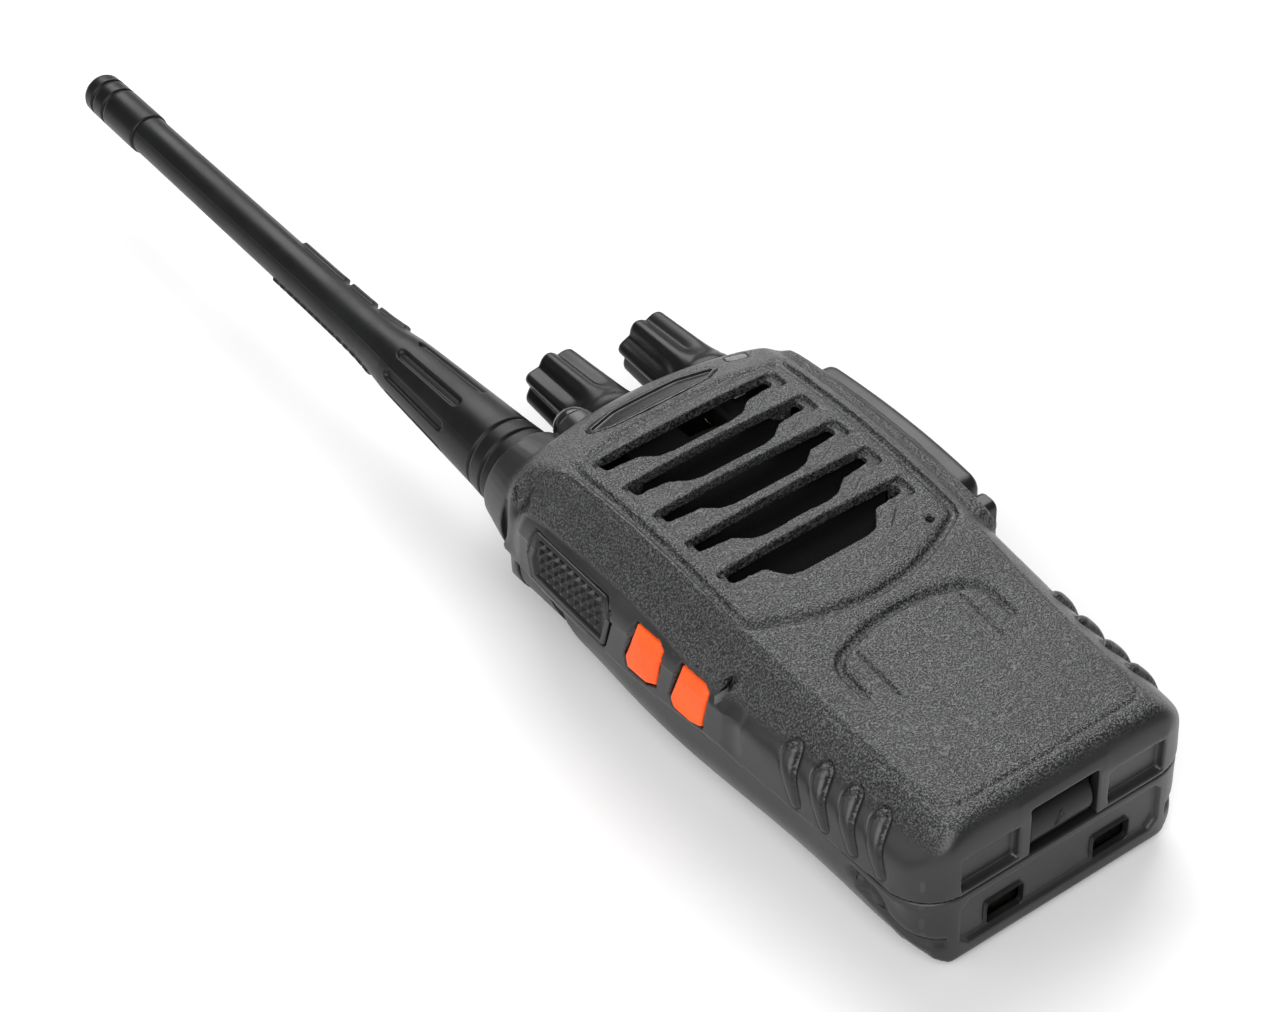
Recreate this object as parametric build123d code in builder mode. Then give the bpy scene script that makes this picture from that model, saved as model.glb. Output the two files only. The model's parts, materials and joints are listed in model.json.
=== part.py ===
"""Portable two-way radio, lying on its back.

X runs across the radio, Y from its base towards the antenna and Z out of its front face. While
a piece is made, Y is the distance up from the base. save() then moves it so that the origin is
in the middle of the battery's flat back. All sizes are millimetres.
"""

from build123d import *
from math import cos, radians
import os

os.makedirs("parts", exist_ok=True)

# ---- driving dimensions -------------------------------------------------------------------

origin_y = 38.0  # distance up the body of the finished model's origin
seam_z = 14.2  # parting line between the front housing and the battery
seam_gap = 0.2  # half of the gap at the parting line
wall = 2.0  # moulded wall of the housing
deck_y = 101.3  # top deck, in the middle
head_y = 91.2  # above this the front housing wraps round to the back
back_z = 4.0  # back of the radio's head, above the battery
front_limit = 40.0  # any height above the front face
clear = 0.25  # gap round a button

# front housing: (distance up the body, half width, half width of the panel, panel height)
stations = [
    (0.0, 25.3, 18.0, 27.0),
    (16.0, 25.9, 18.3, 28.4),
    (33.0, 26.7, 19.0, 29.9),
    (50.0, 27.4, 20.3, 32.1),
    (66.0, 27.8, 20.8, 33.3),
    (84.0, 27.7, 20.8, 32.7),
    (103.0, 27.3, 20.2, 29.2),
]
crown = 0.7  # how much the front panel bulges across the body
bevel_bulge = 0.25  # how much the side bevels bulge
arch_radius = 65.0  # the top deck and the brow are arched in the front view

# grille
slot_tops = [85.7, 78.2, 70.7, 63.2, 55.7]
slot_half = 16.8
slot_end_height = 4.4
slot_mid_height = 6.5
last_slot_mid_height = 7.6
slot_step = 0.9  # depth of the ledge along each slot's lower edge

# top of the radio
knob_z = 16.5
channel_x = 0.1
volume_x = 17.0
knob_height = 17.2
knob_radius = 6.5
shaft_radius = 3.0
running = 0.05  # radial clearance of a shaft in its bushing
antenna_x = -16.6
antenna_z = 16.7
antenna_tip_y = 231.0
cap_y = 214.6

# battery
battery_top_y = 84.0  # at the parting line
battery_slant = 0.6  # the top end leans, per millimetre towards the back
battery_wall = 1.8
lid_z = 12.4

# chassis and board
plate_z = 16.4
board_z = 17.6
board_thick = 1.2
screw_spots = [(-20.4, 11.5), (20.4, 11.5), (-20.9, 80.5), (20.9, 80.5)]
board_screw_spots = [(-12.0, 10.0), (12.0, 10.0), (-15.0, 46.0), (16.0, 44.0)]

# side controls, on the left side (negative X)
ptt_travel = 0.9
key_travel = 0.6
key_pitch = 10.6

# latch and cover
latch_half = 5.8
cover_y = (51.5, 87.5)
jack_z = 21.6
jack_ys = (64.0, 75.4)


def half_width(y):
    """Half width of the body at a distance up from its base, between the stations."""
    for (y0, half0, _, _), (y1, half1, _, _) in zip(stations, stations[1:]):
        if y <= y1:
            return half0 + (half1 - half0) * (y - y0) / (y1 - y0)
    return stations[-1][1]


def save(part, name):
    """Move a finished piece to the model's origin, label it and write it to its own file."""
    placed = Pos(0, -origin_y, 0) * part
    placed.label = name
    export_step(placed, f"parts/{name}.step")


# ---- outer form of the radio, shared by the pieces that follow it --------------------------


def shell_loft(inset, base_z):
    """The front housing's solid form with its sides drawn in by inset, standing on base_z."""
    with BuildPart() as form:
        for y, half, panel, top in stations:
            side = half - inset
            flank = side - 0.4
            edge = panel - 0.5 * inset
            knee = seam_z + 0.42 * (top - seam_z) - 0.3 * inset
            lip = top - 1.0 - inset
            mid_x = (flank + edge) / 2 + bevel_bulge
            mid_z = (knee + lip) / 2 + bevel_bulge
            with BuildSketch(Plane.XZ.offset(-y)):
                with BuildLine():
                    Polyline((-flank, knee), (-side, base_z), (side, base_z), (flank, knee))
                    ThreePointArc((flank, knee), (mid_x, mid_z), (edge, lip))
                    ThreePointArc((edge, lip), (0, lip + crown), (-edge, lip))
                    ThreePointArc((-edge, lip), (-mid_x, mid_z), (-flank, knee))
                make_face()
        loft()
    return form.part


def plan_form(inset, low_z):
    """Everything inside the front view's outline: round base corners, shoulders, arched top."""
    corner = 8.0
    side = 25.65 - inset
    low = inset
    with BuildPart() as form:
        with BuildSketch(Plane.XY.offset(low_z)):
            with BuildLine():
                Polyline((-(side - corner + inset), low), (side - corner + inset, low))
                RadiusArc((side - corner + inset, low), (side, corner), -(corner - inset))
                Polyline(
                    (side, corner), (33, corner), (33, 86.0), (27.75 - inset, 86.0)
                )
                ThreePointArc(
                    (27.75 - inset, 86.0),
                    (26.0 - 0.9 * inset, 94.6 - 0.4 * inset),
                    (20.5 - 0.5 * inset, 99.4 - inset),
                )
                ThreePointArc(
                    (20.5 - 0.5 * inset, 99.4 - inset),
                    (0, deck_y - inset),
                    (-(20.5 - 0.5 * inset), 99.4 - inset),
                )
                ThreePointArc(
                    (-(20.5 - 0.5 * inset), 99.4 - inset),
                    (-(26.0 - 0.9 * inset), 94.6 - 0.4 * inset),
                    (-(27.75 - inset), 86.0),
                )
                Polyline((-(27.75 - inset), 86.0), (-33, 86.0), (-33, corner), (-side, corner))
                RadiusArc((-side, corner), (-(side - corner + inset), low), -(corner - inset))
            make_face()
        extrude(amount=front_limit)
    return form.part


def profile_form(inset):
    """Everything inside the side view's outline: sloping brow, rounded top and bottom edges.

    The brow and deck are turned about an upright axis, so they arch in the front view.
    """
    axis_y = deck_y - arch_radius
    with BuildPart() as turned:
        with BuildSketch(Plane.YZ):
            with BuildLine():
                Polyline(
                    (axis_y, back_z),
                    (axis_y, front_limit),
                    (88.6, front_limit),
                    (88.6, 32.4 - inset),
                    (97.0 - 0.3 * inset, 28.9 - inset),
                )
                ThreePointArc(
                    (97.0 - 0.3 * inset, 28.9 - inset),
                    (99.9 - 0.7 * inset, 26.6 - 0.8 * inset),
                    (deck_y - inset, 22.0),
                )
                Polyline(
                    (deck_y - inset, 22.0),
                    (deck_y - inset, 12.0),
                    (96.5 - inset, back_z),
                    (axis_y, back_z),
                )
            make_face()
        revolve(axis=Axis((0, axis_y, 0), (0, 0, 1)))
        with BuildSketch(Plane.YZ.offset(-35)):
            with BuildLine():
                ThreePointArc(
                    (inset, 22.0), (1.1 + inset, 25.4), (4.4 + inset, 28.4)
                )
                Polyline((4.4 + inset, 28.4), (4.4 + inset, 50), (-2, 50), (-2, 22), (inset, 22))
            make_face()
        extrude(amount=70, mode=Mode.SUBTRACT)
    return turned.part


def shell_form(inset, base_z=seam_z + seam_gap):
    """The front housing's outer form, drawn in by inset all over."""
    with BuildPart() as limits:
        add(plan_form(inset, base_z - 1))
        add(profile_form(inset), mode=Mode.INTERSECT)
    with BuildPart() as form:
        add(shell_loft(inset, base_z))
        add(limits.part, mode=Mode.INTERSECT)
    return form.part


def head_form(inset, start_y):
    """The housing's head, which wraps round behind the parting line above the battery."""
    low = back_z + inset
    high = 22.0
    half = 27.3 - inset
    with BuildPart() as form:
        with BuildSketch(Plane.XZ.offset(-start_y)) as section:
            with Locations((0, (low + high) / 2)):
                Rectangle(2 * half, high - low)
            fillet(section.vertices().group_by(Axis.Y)[0], 9.5 - inset)
        extrude(amount=-(105 - start_y))
        add(plan_form(inset, low - 1), mode=Mode.INTERSECT)
        add(profile_form(inset), mode=Mode.INTERSECT)
    return form.part


def side_platform(sign, low_y, high_y, proud):
    """A raised, smooth area on one side, that tapers towards the front."""
    with BuildPart() as form:
        with BuildSketch(Plane.XY.offset(seam_z + seam_gap)):
            with BuildLine():
                Polyline(
                    (-(half_width(low_y) - 0.4), low_y),
                    (-18, low_y),
                    (-18, high_y),
                    (-(half_width(high_y) - 0.4), high_y),
                )
                ThreePointArc(
                    (-(half_width(high_y) - 0.4), high_y),
                    (-(half_width(72) + proud), 72),
                    (-(half_width(low_y) - 0.4), low_y),
                )
            make_face()
        extrude(amount=13.2, taper=5)
    return form.part if sign < 0 else form.part.mirror(Plane.YZ)


# ---- outlines shared by an opening and the piece that fills it ------------------------------

key_spots = {"side_key_upper": (0.0, -28.9), "side_key_lower": (key_pitch, -28.3)}
grip_ys = [25.9, 20.0, 14.2, 8.6]
flash_x = -8.0
flash_z = 22.4
mic_spot = (14.9, 46.6)
speaker_spot = (0, 66.0)
key_wall_x = -25.2  # inner face of the wall behind the keys
ptt_wall_x = -25.5
# stems of the side buttons: their middles, then half height, half depth and flange seat
stem_spots = {"ptt": (76.0, 20.0), "upper": (58.0, 20.0), "lower": (47.4, 20.0)}
stem_sizes = {
    "ptt": (6.0, 2.0, ptt_wall_x),
    "upper": (2.6, 1.6, key_wall_x),
    "lower": (2.6, 1.6, key_wall_x),
}


def slot_outline(top, height, end_height, half, knee_out, knee_in):
    """A grille slot in the front view, whose lower edge drops in the middle."""
    low_end = top - end_height
    low_mid = top - height
    with BuildSketch() as face:
        with BuildLine():
            Polyline(
                (-half, top),
                (-half, low_end + 0.6),
                (-knee_out, low_end),
                (-knee_in, low_mid + 0.5),
                (-knee_in + 2.2, low_mid),
                (knee_in - 2.2, low_mid),
                (knee_in, low_mid + 0.5),
                (knee_out, low_end),
                (half, low_end + 0.6),
                (half, top),
                close=True,
            )
        make_face()
        fillet(face.vertices(), 0.45)
    return face.sketch


def key_outline(shift, gap):
    """An orange side key in the side view, shift down the body from the upper one."""
    with BuildSketch() as face:
        with BuildLine():
            Polyline(
                (54.2 - shift, 26.4),
                (59.4 - shift, 26.2),
                (62.6 - shift, 17.6),
                (62.0 - shift, 15.6),
                (57.7 - shift, 15.5),
                (55.6 - shift, 16.7),
                (53.5 - shift, 25.1),
                close=True,
            )
        make_face()
        fillet(face.vertices(), 0.8)
        if gap:
            offset(amount=gap)
    return face.sketch


def ptt_outline(gap):
    """The push-to-talk pad in the side view."""
    with BuildSketch() as face:
        with BuildLine():
            Polyline(
                (66.4, 26.0),
                (84.0, 26.4),
                (86.2, 20.0),
                (85.6, 15.9),
                (67.4, 15.6),
                (66.0, 21.5),
                close=True,
            )
        make_face()
        fillet(face.vertices(), 0.9)
        if gap:
            offset(amount=gap)
    return face.sketch


def box_outline(low_y, high_y, low_z, high_z, radius=0.0):
    """A rectangle in the side view, with rounded corners if it has a radius."""
    with BuildSketch() as face:
        with Locations(((low_y + high_y) / 2, (low_z + high_z) / 2)):
            if radius:
                RectangleRounded(high_y - low_y, high_z - low_z, radius)
            else:
                Rectangle(high_y - low_y, high_z - low_z)
    return face.sketch


def grip_outline(y, length, width):
    """A slanted teardrop in the side view: round at the front, narrow at the parting line."""
    low = seam_z + 1.6
    lean = 3.2
    high = low + length
    with BuildSketch() as face:
        with BuildLine():
            Line((y - width * 0.25, low), (y + lean - width / 2, high - width / 2))
            ThreePointArc(
                (y + lean - width / 2, high - width / 2),
                (y + lean, high),
                (y + lean + width / 2, high - width / 2),
            )
            Line((y + lean + width / 2, high - width / 2), (y + width * 0.25, low))
            Line((y + width * 0.25, low), (y - width * 0.25, low))
        make_face()
    return face.sketch


def plate_outline(gap):
    """The nameplate in the front view: long and low, with an arched top."""
    with BuildSketch() as face:
        with BuildLine():
            ThreePointArc((-9.0, 90.9), (0, 90.3), (9.0, 90.9))
            Polyline((9.0, 90.9), (11.9, 92.6), (11.6, 94.1), (10.6, 94.9))
            ThreePointArc((10.6, 94.9), (0, 96.2), (-10.6, 94.9))
            Polyline((-10.6, 94.9), (-11.6, 94.1), (-11.9, 92.6), (-9.0, 90.9))
        make_face()
        fillet(face.vertices(), 0.5)
        if gap:
            offset(amount=gap)
    return face.sketch


def led_outline(gap):
    """The status light's lens in the front view."""
    with BuildSketch() as face:
        with Locations(Location((16.5, 93.9), -18)):
            RectangleRounded(3.4 + 2 * gap, 2.1 + 2 * gap, 0.6)
    return face.sketch


def side_prism(outline, start_x, end_x):
    """A side-view outline carried across the radio from one X to another."""
    with BuildPart() as prism:
        with BuildSketch(Plane.YZ.offset(start_x)):
            add(outline)
        extrude(amount=end_x - start_x)
    return prism.part


def front_prism(outline, low_z, high_z):
    """A front-view outline carried from one height to another."""
    with BuildPart() as prism:
        with BuildSketch(Plane.XY.offset(low_z)):
            add(outline)
        extrude(amount=high_z - low_z)
    return prism.part


def ring(x, z, start_y, end_y, outer, inner=0.0):
    """A tube or disc about an axis along Y."""
    with BuildPart() as tube:
        with BuildSketch(Plane.XZ.offset(-start_y)):
            with Locations((x, z)):
                Circle(outer)
                if inner:
                    Circle(inner, mode=Mode.SUBTRACT)
        extrude(amount=-(end_y - start_y))
    return tube.part


def block(corner, opposite):
    """A rectangular block between two opposite corners."""
    middle = tuple((a + b) / 2 for a, b in zip(corner, opposite))
    sizes = [abs(a - b) for a, b in zip(corner, opposite)]
    with BuildPart() as piece:
        with Locations(middle):
            Box(*sizes)
    return piece.part


# ---- front housing ------------------------------------------------------------------------

groove_floor = shell_form(0.5)
step_floor = shell_form(slot_step)
plate_floor = shell_form(0.7)

with BuildPart() as surface_grooves:
    # frame round the grille: two side lines and a curve below
    with BuildSketch(Plane.XY.offset(20)):
        with BuildLine():
            Line((-19.3, 88.0), (-19.3, 48.5))
            ThreePointArc((-19.3, 48.5), (-18.8, 46.0), (-16.8, 44.6))
            ThreePointArc((-16.8, 44.6), (0, 40.0), (16.8, 44.6))
            ThreePointArc((16.8, 44.6), (18.8, 46.0), (19.3, 48.5))
            Line((19.3, 48.5), (19.3, 88.0))
        trace(line_width=1.1)
    extrude(amount=20)
    # arched top of the lower pad, with its sides running down the panel
    with BuildSketch(Plane.XY.offset(20)):
        with BuildLine():
            Line((-13.4, 26.0), (-13.4, 31.0))
            ThreePointArc((-13.4, 31.0), (-12.7, 33.1), (-10.6, 34.4))
            ThreePointArc((-10.6, 34.4), (0, 36.3), (10.6, 34.4))
            ThreePointArc((10.6, 34.4), (12.7, 33.1), (13.4, 31.0))
            Line((13.4, 31.0), (13.4, 26.0))
        trace(line_width=0.9)
    extrude(amount=20)
    # two short step lines inside the pad
    with BuildSketch(Plane.XY.offset(20)):
        with Locations((-9.4, 28.6), (9.4, 28.6)):
            Rectangle(0.5, 9.6)
    extrude(amount=20)
    # finger ribs on both sides
    with BuildSketch(Plane.YZ.offset(-32)):
        for y in grip_ys:
            add(grip_outline(y, 8.2, 3.0))
            add(grip_outline(y, 7.7, 1.9), mode=Mode.SUBTRACT)
    extrude(amount=64)
    add(groove_floor, mode=Mode.SUBTRACT)

with BuildPart() as slot_steps:
    for top in slot_tops:
        height = last_slot_mid_height if top == slot_tops[-1] else slot_mid_height
        with BuildSketch(Plane.XY.offset(20)):
            add(slot_outline(top, height, slot_end_height, slot_half, 12.4, 9.6))
    extrude(amount=20)
    add(step_floor, mode=Mode.SUBTRACT)

with BuildPart() as slot_openings:
    for top in slot_tops:
        height = last_slot_mid_height if top == slot_tops[-1] else slot_mid_height
        with BuildSketch(Plane.XY.offset(20)):
            add(slot_outline(top, height - 1.5, 2.6, slot_half - 1.3, 10.2, 7.8))
    extrude(amount=20)

with BuildPart() as button_recesses:
    add(side_prism(ptt_outline(clear), -33, -22))
    for shift, _ in key_spots.values():
        add(side_prism(key_outline(shift, clear), -33, -22))
    add(shell_form(1.7), mode=Mode.SUBTRACT)

cover_recess = box_outline(46.9, 87.8, 16.0, 26.6, 2.4)
with BuildPart() as platform_recess:
    add(side_prism(cover_recess, 20, 34))
    add(shell_form(0.0), mode=Mode.SUBTRACT)

with BuildPart() as posts:
    with BuildSketch(Plane.XY.offset(plate_z + 0.2)):
        with Locations(*screw_spots):
            Circle(2.3)
    extrude(amount=15)
    add(shell_form(0.8), mode=Mode.INTERSECT)

with BuildPart() as speaker_ring:
    with BuildSketch(Plane.XY.offset(26.4)):
        with Locations(speaker_spot):
            Circle(19.2)
            Circle(18.0, mode=Mode.SUBTRACT)
    extrude(amount=10)
    add(shell_form(1.6), mode=Mode.INTERSECT)

ring_tops = {channel_x: deck_y + 1.0, volume_x: deck_y - 1.0}  # low rings round the knobs
well_y = 99.6  # floor of the well round the antenna's foot

with BuildPart() as front_housing:
    add(shell_form(0.0))
    add(side_platform(-1, 40.8, 95.0, 0.8))
    add(side_platform(1, 44.0, 94.0, 1.1))
    add(profile_form(0.0), mode=Mode.INTERSECT)
    add(head_form(0.0, head_y))
    # tapered boss round the antenna, low rings round the knobs, boss of the flashlight
    with BuildSketch(Plane.XZ.offset(-96.5)):
        with Locations((antenna_x, antenna_z)):
            Circle(9.7)
    extrude(amount=-6.9, taper=14)
    for x, ring_top in ring_tops.items():
        add(ring(x, knob_z, 95.5, ring_top, 7.2))
    add(ring(flash_x, flash_z, 96.5, 102.4, 3.5))
    # the hollow inside
    add(shell_form(wall, 5.0), mode=Mode.SUBTRACT)
    add(head_form(wall, head_y - 5), mode=Mode.SUBTRACT)
    add(posts.part)
    add(speaker_ring.part)
    # shelf that the latch springs push on
    add(block((-7.8, 1.5, 24.7), (7.8, 5.6, 25.7)))
    with Locations(*[(x, y, plate_z) for x, y in screw_spots]):
        Cylinder(0.85, 7.5, align=(Align.CENTER, Align.CENTER, Align.MIN), mode=Mode.SUBTRACT)
    # surface detail and the grille
    add(surface_grooves.part, mode=Mode.SUBTRACT)
    add(slot_steps.part, mode=Mode.SUBTRACT)
    add(slot_openings.part, mode=Mode.SUBTRACT)
    # nameplate recess, light and microphone holes
    with BuildPart(mode=Mode.PRIVATE) as plate_recess:
        add(front_prism(plate_outline(0.1), 25, 40))
        add(plate_floor, mode=Mode.SUBTRACT)
    add(plate_recess.part, mode=Mode.SUBTRACT)
    add(front_prism(led_outline(0.1), 22, 40), mode=Mode.SUBTRACT)
    with Locations((*mic_spot, 30)):
        Cylinder(0.65, 12, mode=Mode.SUBTRACT)
    # side buttons: a shallow recess for each, a hole for its stem and a seat for its flange
    add(button_recesses.part, mode=Mode.SUBTRACT)
    for name, (y, z) in stem_spots.items():
        half_y, half_z, seat_x = stem_sizes[name]
        low = (seat_x - 4, y - half_y - clear, z - half_z - clear)
        add(block(low, (seat_x + 2, y + half_y + clear, z + half_z + clear)), mode=Mode.SUBTRACT)
        low = (seat_x, y - half_y - 1.4, z - half_z - 1.2)
        add(block(low, (seat_x + 2.1, y + half_y + 1.4, z + half_z + 1.2)), mode=Mode.SUBTRACT)
    # recess for the jack cover and its anchor, and the two jack holes
    add(side_prism(cover_recess, 27.2, 34), mode=Mode.SUBTRACT)
    add(platform_recess.part, mode=Mode.SUBTRACT)
    for y in jack_ys:
        with Locations((26, y, jack_z)):
            Cylinder(2.9, 8, rotation=(0, 90, 0), mode=Mode.SUBTRACT)
    # latch opening, from the parting line up, and two shallow pockets beside it
    add(block((-6.1, -1, 12), (6.1, 2.3, 23.0)), mode=Mode.SUBTRACT)
    add(block((-8.2, 1.9, 12), (8.2, 2.6, 24.0)), mode=Mode.SUBTRACT)
    for x in (-13.2, 13.2):
        with BuildSketch(Plane.XZ.offset(-0.5)):
            with Locations((x, 18.2)):
                RectangleRounded(10.4, 6.4, 1.4)
        extrude(amount=2, mode=Mode.SUBTRACT)
    # antenna well and socket hole, knob bushing holes and nut seats, flashlight bore
    add(ring(antenna_x, antenna_z, well_y, 106, 6.7), mode=Mode.SUBTRACT)
    add(ring(antenna_x, antenna_z, 94, 101, 3.3), mode=Mode.SUBTRACT)
    for x in ring_tops:
        add(ring(x, knob_z, 92, 104, 3.6), mode=Mode.SUBTRACT)
    add(ring(flash_x, flash_z, 94, 104, 2.9), mode=Mode.SUBTRACT)
    add(ring(flash_x, flash_z, 102.42, 107, 3.5), mode=Mode.SUBTRACT)

save(front_housing.part, "front_housing")

with BuildPart() as nameplate:
    add(front_prism(plate_outline(0.0), 25, 40))
    add(shell_form(0.15), mode=Mode.INTERSECT)
    add(shell_form(0.65), mode=Mode.SUBTRACT)
save(nameplate.part, "nameplate")

with BuildPart() as led_lens:
    add(front_prism(led_outline(0.0), 26.1, 40))
    add(shell_form(0.05), mode=Mode.INTERSECT)
save(led_lens.part, "led_lens")

with BuildPart() as flashlight_lens:
    add(ring(flash_x, flash_z, 98.4, 102.6, 2.7))
    with Locations((flash_x, 102.45, flash_z)):
        Sphere(3.3)
    add(block((flash_x - 4, 90, flash_z - 4), (flash_x + 4, 98.4, flash_z + 4)), mode=Mode.SUBTRACT)
    add(ring(flash_x, flash_z, 98.4, 102.45, 4.5, 2.7), mode=Mode.SUBTRACT)
    # pocket over the light
    add(ring(flash_x, flash_z, 98.0, 100.4, 1.8), mode=Mode.SUBTRACT)
save(flashlight_lens.part, "flashlight_lens")

with BuildPart() as flashlight_led:
    add(ring(flash_x, flash_z, 96.6, 98.1, 2.4))
    add(ring(flash_x, flash_z, 98.1, 99.8, 1.5))
save(flashlight_led.part, "flashlight_led")

# ---- speaker and microphone ----------------------------------------------------------------

with BuildPart() as speaker_basket:
    with BuildSketch(Plane.XZ):
        with BuildLine():
            Polyline(
                (7.3, 24.2),
                (12.0, 24.2),
                (15.4, 27.4),
                (17.6, 27.8),
                (17.6, 29.0),
                (16.6, 29.0),
                (16.6, 28.4),
                (15.0, 28.0),
                (11.6, 24.9),
                (7.3, 24.9),
                close=True,
            )
        make_face()
    revolve(axis=Axis.Z)
save(Pos(*speaker_spot, 0) * speaker_basket.part, "speaker_basket")

with BuildPart() as speaker_cone:
    with BuildSketch(Plane.XZ):
        with BuildLine():
            Polyline(
                (0, 26.5), (4.0, 26.1), (16.2, 28.75), (16.2, 29.0), (4.0, 26.4), (0, 26.9), (0, 26.5)
            )
        make_face()
    revolve(axis=Axis.Z)
save(Pos(*speaker_spot, 0) * speaker_cone.part, "speaker_cone")

with BuildPart() as speaker_magnet:
    Cylinder(7.2, 4.4, align=(Align.CENTER, Align.CENTER, Align.MIN))
    chamfer(speaker_magnet.edges().group_by(Axis.Z)[0], 0.4)
save(Pos(*speaker_spot, 20.6) * speaker_magnet.part, "speaker_magnet")

with BuildPart() as speaker_cloth:
    Cylinder(17.6, 0.3, align=(Align.CENTER, Align.CENTER, Align.MIN))
save(Pos(*speaker_spot, 29.0) * speaker_cloth.part, "speaker_cloth")

with BuildPart() as microphone:
    Cylinder(3.0, 2.0, align=(Align.CENTER, Align.CENTER, Align.MIN))
    fillet(microphone.edges().group_by(Axis.Z)[-1], 0.3)
save(Pos(*mic_spot, 26.2) * microphone.part, "microphone")

with BuildPart() as microphone_boot:
    Cylinder(3.9, 2.4, align=(Align.CENTER, Align.CENTER, Align.MIN))
    Cylinder(3.0, 2.4, align=(Align.CENTER, Align.CENTER, Align.MIN), mode=Mode.SUBTRACT)
save(Pos(*mic_spot, 25.8) * microphone_boot.part, "microphone_boot")

# ---- chassis --------------------------------------------------------------------------------

plate_low = seam_z + seam_gap
hook_ys = (20.0, 56.0)

with BuildPart() as rear_chassis:
    # floor plate inside the housing's walls
    with BuildSketch(Plane.XY.offset(plate_low)):
        with BuildLine():
            Polyline(
                (-17.2, 2.5),
                (17.2, 2.5),
                (20.6, 3.9),
                (22.6, 7.2),
                (24.3, 33.0),
                (25.4, 66.0),
                (25.2, 84.0),
                (24.6, 91.0),
                (-24.6, 91.0),
                (-25.2, 84.0),
                (-25.4, 66.0),
                (-24.3, 33.0),
                (-22.6, 7.2),
                (-20.6, 3.9),
                (-17.2, 2.5),
            )
        make_face()
        with Locations((0, 3.5)):
            Rectangle(17.2, 5.2, mode=Mode.SUBTRACT)
    extrude(amount=plate_z - plate_low)
    # block above the battery, whose sloping end the battery's top end meets
    with BuildSketch(Plane.XZ.offset(-70)) as section:
        with Locations((0, (back_z + 14.0) / 2)):
            Rectangle(53.8, 14.0 - back_z)
        fillet(section.vertices().group_by(Axis.Y)[0], 9.2)
    extrude(amount=-20.9)
    with BuildSketch(Plane.YZ.offset(-30)):
        with BuildLine():
            Polyline(
                (60, 14.2), (84.5, 14.2), (84.5 - battery_slant * 14.2, 0), (60, 0), (60, 14.2)
            )
        make_face()
    extrude(amount=60, mode=Mode.SUBTRACT)
    add(block((-26.9, 84.5, 13.5), (26.9, 90.9, plate_low)))
    # pocket that lightens the block
    with BuildSketch(Plane.XZ.offset(-91)) as hollow:
        with Locations((0, 9.0)):
            Rectangle(44.0, 9.4)
        fillet(hollow.vertices(), 2.5)
    extrude(amount=6.0, mode=Mode.SUBTRACT)
    # room for the bodies of the two controls
    add(block((-5.4, 86.6, 10.8), (24.6, 92, 18)), mode=Mode.SUBTRACT)
    # hooks that hold the battery's rails, and the slot between them and the plate
    for side in (-1, 1):
        for y in hook_ys:
            add(block((side * 20.0 - 1.2, y, 12.6), (side * 20.0 + 1.2, y + 10, plate_low)))
            foot_x = side * 19.3
            add(block((foot_x - 2.0, y, 12.5), (foot_x + 2.0, y + 10, 13.1)))
    # bosses under the board, and the screw holes
    with Locations(*[(x, y, plate_z) for x, y in board_screw_spots]):
        Cylinder(2.2, board_z - plate_z, align=(Align.CENTER, Align.CENTER, Align.MIN))
    with Locations(*[(x, y, plate_low) for x, y in board_screw_spots]):
        Cylinder(0.75, 4, align=(Align.CENTER, Align.CENTER, Align.MIN), mode=Mode.SUBTRACT)
    with Locations(*[(x, y, 10) for x, y in screw_spots]):
        Cylinder(1.1, 8, align=(Align.CENTER, Align.CENTER, Align.MIN), mode=Mode.SUBTRACT)
    with Locations(*[(x, y, plate_low) for x, y in screw_spots]):
        Cylinder(2.0, 0.9, align=(Align.CENTER, Align.CENTER, Align.MIN), mode=Mode.SUBTRACT)
    # window for the battery's contact springs
    add(block((-7.2, 44.6, plate_low - 1), (7.2, 50.4, plate_z + 1)), mode=Mode.SUBTRACT)
save(rear_chassis.part, "rear_chassis")


with BuildPart() as chassis_seal:
    with BuildSketch(Plane.XY.offset(plate_z)):
        with BuildLine():
            Polyline(
                (-16.6, 3.6), (-9.6, 3.6), (-9.6, 6.8), (9.6, 6.8), (9.6, 3.6), (16.6, 3.6)
            )
            Polyline((16.6, 3.6), (20.3, 5.2), (21.7, 8.2), (23.4, 33.0), (24.5, 66.0), (24.4, 85.6))
            Polyline((24.4, 85.6), (-24.4, 85.6), (-24.5, 66.0), (-23.4, 33.0), (-21.7, 8.2))
            Polyline((-21.7, 8.2), (-20.3, 5.2), (-16.6, 3.6))
        trace(line_width=0.8)
    extrude(amount=0.9)
    with Locations(*[(x, y, plate_z) for x, y in screw_spots]):
        Cylinder(2.5, 1, align=(Align.CENTER, Align.CENTER, Align.MIN), mode=Mode.SUBTRACT)
save(chassis_seal.part, "chassis_seal")

with BuildPart() as chassis_screws:
    with Locations(*[(x, y, plate_low + 0.1) for x, y in screw_spots]):
        Cylinder(1.8, 0.75, align=(Align.CENTER, Align.CENTER, Align.MIN))
        Cylinder(0.85, 7.0, align=(Align.CENTER, Align.CENTER, Align.MIN))
    with Locations(*[(x, y, plate_low) for x, y in screw_spots]):
        Cylinder(0.6, 0.5, align=(Align.CENTER, Align.CENTER, Align.MIN), mode=Mode.SUBTRACT)
save(chassis_screws.part, "chassis_screws")

# ---- boards ---------------------------------------------------------------------------------

board_top = board_z + board_thick

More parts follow.
